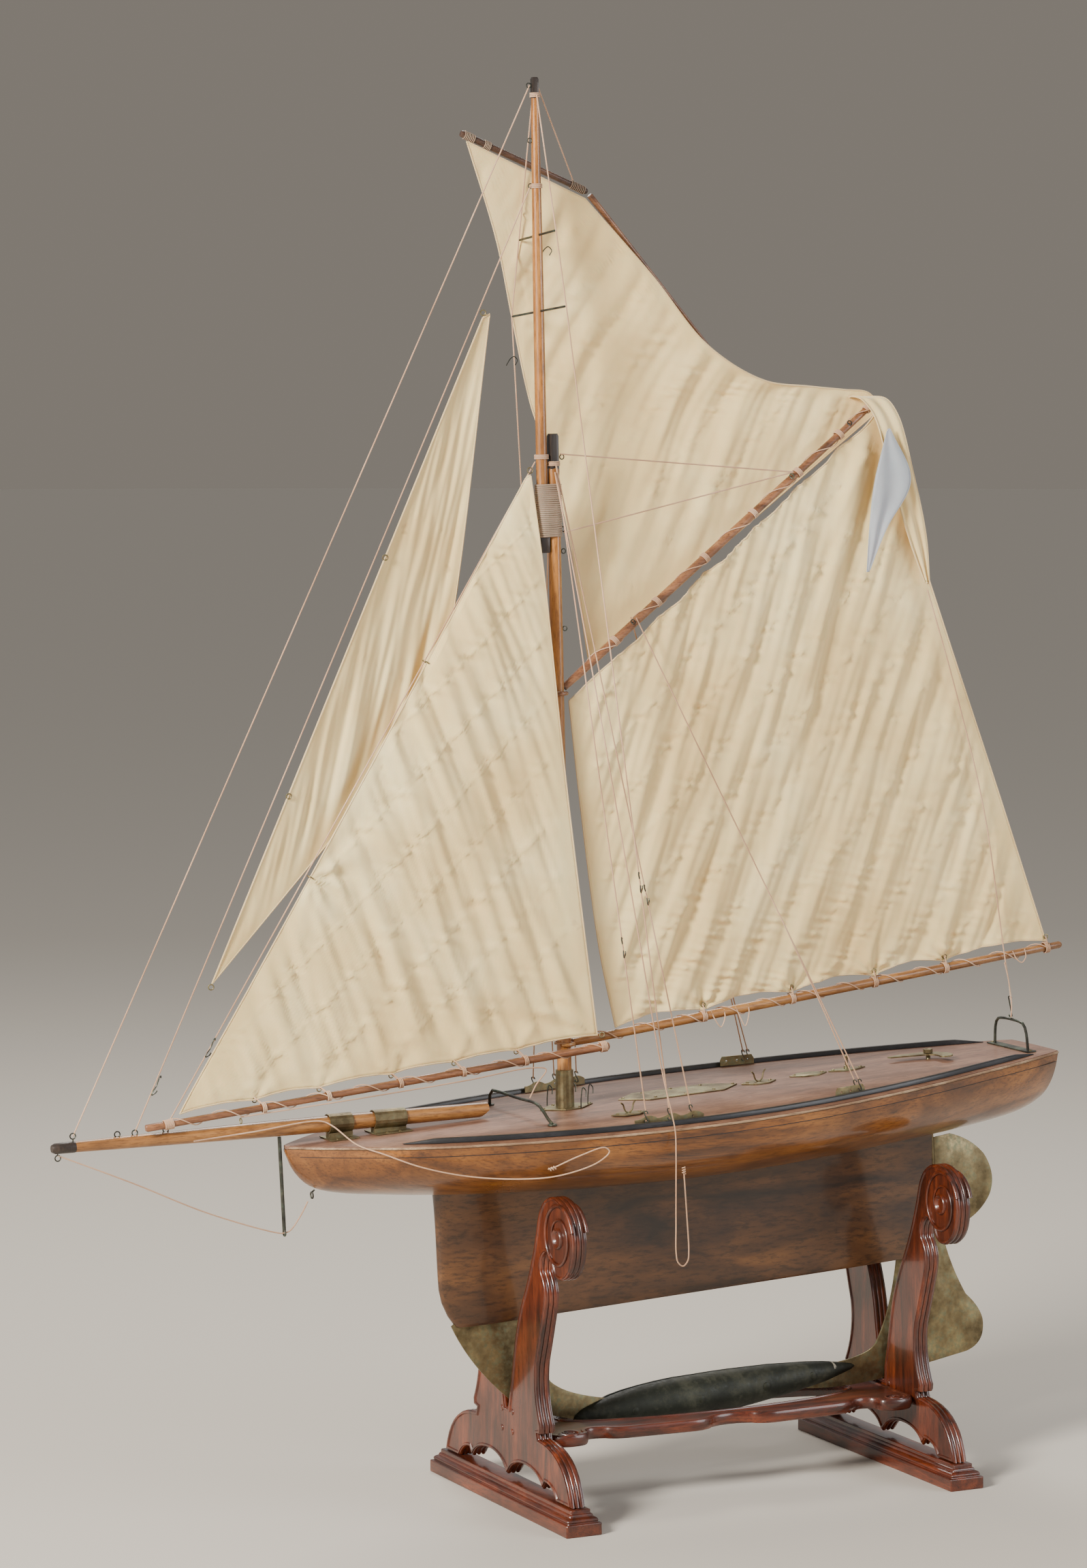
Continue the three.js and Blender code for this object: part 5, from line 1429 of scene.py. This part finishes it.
eyes = bmesh.new()
for x, z, side in ((-673, 46, 1), (-615, 41, 1), (-592, 40, 1), (-551, 39, 1), (-694, 21, -1)):
    ring((x, 0, z - 0.5), (0, 1, 0), 3.6, 0.85, eyes)
    rod([(x, 0, z - side * 4), (x, 0, z - side * 10)], 0.9, 8, eyes)
for z, out in ((837, 1), (745, 1), (717, 1), (618, 1), (560, -1)):
    base = in_boat(out * 8, 0, z)
    ring(base + Vector((out * 4.5, 0, 0)), (0, 1, 0), 3.0, 0.75, eyes)
for z in (1180, 1237, 1306):
    ring(in_boat(TOPMAST_X - 8.2, 0, z), (0, 1, 0), 3.0, 0.75, eyes)
finish("screw_eyes", eyes, "dark_wire", "boat")

small_hooks = bmesh.new()
for x, y in ((12, -22), (18, 20), (-14, 24), (30, -6)):
    z = deck_top(x, y) + 1
    wire_shape([(x, y, z), (x + 1, y, z + 14), (x + 5, y + 2, z + 26), (x + 9, y + 2, z + 22),
                (x + 8, y, z + 14)], small_hooks, 18, 0.8)
finish("mast_foot_hooks", small_hooks, "dark_wire", "boat")
print("hooks, bowsies and eyes made")

# %% Screws and the two small lozenges
def screw(bm, x, y, z, radius=2.4, turn=0.5):
    head = turned([(0, 1.1), (radius * 0.6, 0.9), (radius, 0.1), (radius, -0.6)], 16)
    slot_cut = [v for v in head.verts if abs(v.co.x) < radius * 0.2 and v.co.z > 0.3]
    for v in slot_cut:
        v.co.z -= 0.5
    seat = Matrix.Translation((x, y, z)) @ Matrix.Rotation(turn, 4, "Z")
    bmesh.ops.transform(head, matrix=seat, verts=head.verts)
    join(bm, head)


screws = bmesh.new()
PLATE = 2.4
places = [(84, 0), (246, 0), (122, 19), (122, -19), (208, 19), (208, -19), (165, 22), (165, -22),
          (-31, 0), (35, 0), (-9, 17), (13, 17), (-9, -17), (13, -17), (62, -90), (30, -90), (298, -8),
          (264, -8), (339, 0), (381, 0), (398, 0), (440, 0), (676, 48), (676, -48)]
places += [(x + dx, y) for x in (-318, -250) for dx in (-9, 9) for y in (-15.5, 15.5)]
for k, (x, y) in enumerate(places):
    lift = PLATE if abs(x) < 600 else 2.6
    screw(screws, x, y, deck_top(x, y) + lift, turn=k * 1.3)
finish("deck_screws", screws, "brass", "boat")


def lozenge_plate(x, length, width, flat):
    z = deck_top(x, 0) + 0.3
    corners = ((-length / 2, 0), (-flat / 2, -width / 2), (flat / 2, -width / 2), (length / 2, 0),
               (flat / 2, width / 2), (-flat / 2, width / 2))
    points = [Vector(p) for p in corners]
    return loft([[Vector((x + p.x * k, p.y * k, z + h)) for p in points] for h, k in
                 ((0, 1), (1.1, 1), (1.6, 0.96))])


post = lozenge_plate(419, 57, 20, 20)
join(post, turned([(4, 0), (4, 4), (2, 5), (2, 15), (3.2, 16), (3.2, 18), (1.6, 19), (0, 19)], 20,
                  place=Matrix.Translation((419, 0, 0.4))))
finish("aft_lozenge", post, "brass", "boat")
finish("middle_lozenge", lozenge_plate(360, 57, 26, 20), "brass", "boat")
print("deck fittings made")

# %% [markdown]
# The fittings that the design already shaped well stay as they are. A weld and a small bevel
# catch the light on their edges, and they take the same aged metal as the new pieces.

# %% Fittings that keep their shape
KEPT = {"mast_socket": aged_brass, "hatch_plate": aged_brass, "port_shroud_plate": aged_brass,
        "starboard_shroud_plate": aged_brass, "port_aft_plate": aged_brass, "starboard_aft_plate": aged_brass,
        "fore_belaying_plate": aged_brass, "aft_belaying_plate": aged_brass, "fore_bowsprit_band": aged_brass,
        "aft_bowsprit_band": aged_brass, "tiller": aged_brass, "tiller_nut": aged_brass,
        "dolphin_striker": dark_wire, "stem_eye": dark_wire, "jib_horse": dark_wire, "stern_horse": dark_wire}
for name, metal_finish in KEPT.items():
    part = frame["nodes"][name]
    part.data.materials.clear()
    part.data.materials.append(metal_finish)
    weld = part.modifiers.new("weld", "WELD")
    weld.merge_threshold = 0.00002
    edge = part.modifiers.new("worn_edges", "BEVEL")
    edge.width = 0.0003
    edge.segments = 2
    edge.limit_method = "ANGLE"
    edge.angle_limit = math.radians(38)
    edge.harden_normals = False
print(len(KEPT), "fittings kept")

# %% [markdown]
# The studio is a wide plain floor in a warm pale grey under an even grey air. One large soft
# light stands on the camera's left, a weaker one on its right, and a third shines down from
# behind to put an edge on the spars.

# %% Floor and lights
floor_bm = bmesh.new()
bmesh.ops.create_circle(floor_bm, cap_ends=True, segments=96, radius=60)
floor_mesh = bpy.data.meshes.new("studio_floor")
floor_bm.to_mesh(floor_mesh)
floor_bm.free()
floor = bpy.data.objects.new("studio_floor", floor_mesh)
bpy.context.scene.collection.objects.link(floor)
floor_grey, floor_shader = blank("studio_grey")
floor_shader.inputs["Base Color"].default_value = (0.58, 0.54, 0.48, 1)
floor_shader.inputs["Roughness"].default_value = 0.95
floor_shader.inputs["Specular IOR Level"].default_value = 0.1
floor_mesh.materials.append(floor_grey)


def area_light(name, place, target, size, power, colour):
    data = bpy.data.lights.new(name, "AREA")
    data.shape = "DISK"
    data.size = size
    data.energy = power
    data.color = colour
    light = bpy.data.objects.new(name, data)
    light.location = place
    light.rotation_euler = (Vector(target) - Vector(place)).to_track_quat("-Z", "Y").to_euler()
    bpy.context.scene.collection.objects.link(light)


area_light("key_light", (-4.6, -2.0, 3.0), (0, 0, 0.8), 1.5, 590, (1.0, 0.95, 0.87))
area_light("fill_light", (3.6, -3.4, 2.2), (0, 0, 0.7), 3.0, 120, (0.95, 0.97, 1.0))
area_light("rim_light", (1.0, 2.6, 3.6), (0, 0, 0.9), 2.0, 90, (1.0, 0.97, 0.92))
world = bpy.data.worlds.new("studio_air")
world.use_nodes = True
air = world.node_tree
lit, seen = air.nodes["Background"], air.nodes.new("ShaderNodeBackground")
lit.inputs["Color"].default_value = (0.62, 0.60, 0.58, 1)
lit.inputs["Strength"].default_value = 0.6
seen.inputs["Color"].default_value = (0.216, 0.194, 0.167, 1)
ray, choose = air.nodes.new("ShaderNodeLightPath"), air.nodes.new("ShaderNodeMixShader")
air.links.new(ray.outputs["Is Camera Ray"], choose.inputs["Fac"])
air.links.new(lit.outputs["Background"], choose.inputs[1])
air.links.new(seen.outputs["Background"], choose.inputs[2])
air.links.new(choose.outputs["Shader"], air.nodes["World Output"].inputs["Surface"])
bpy.context.scene.world = world
print("studio lit")
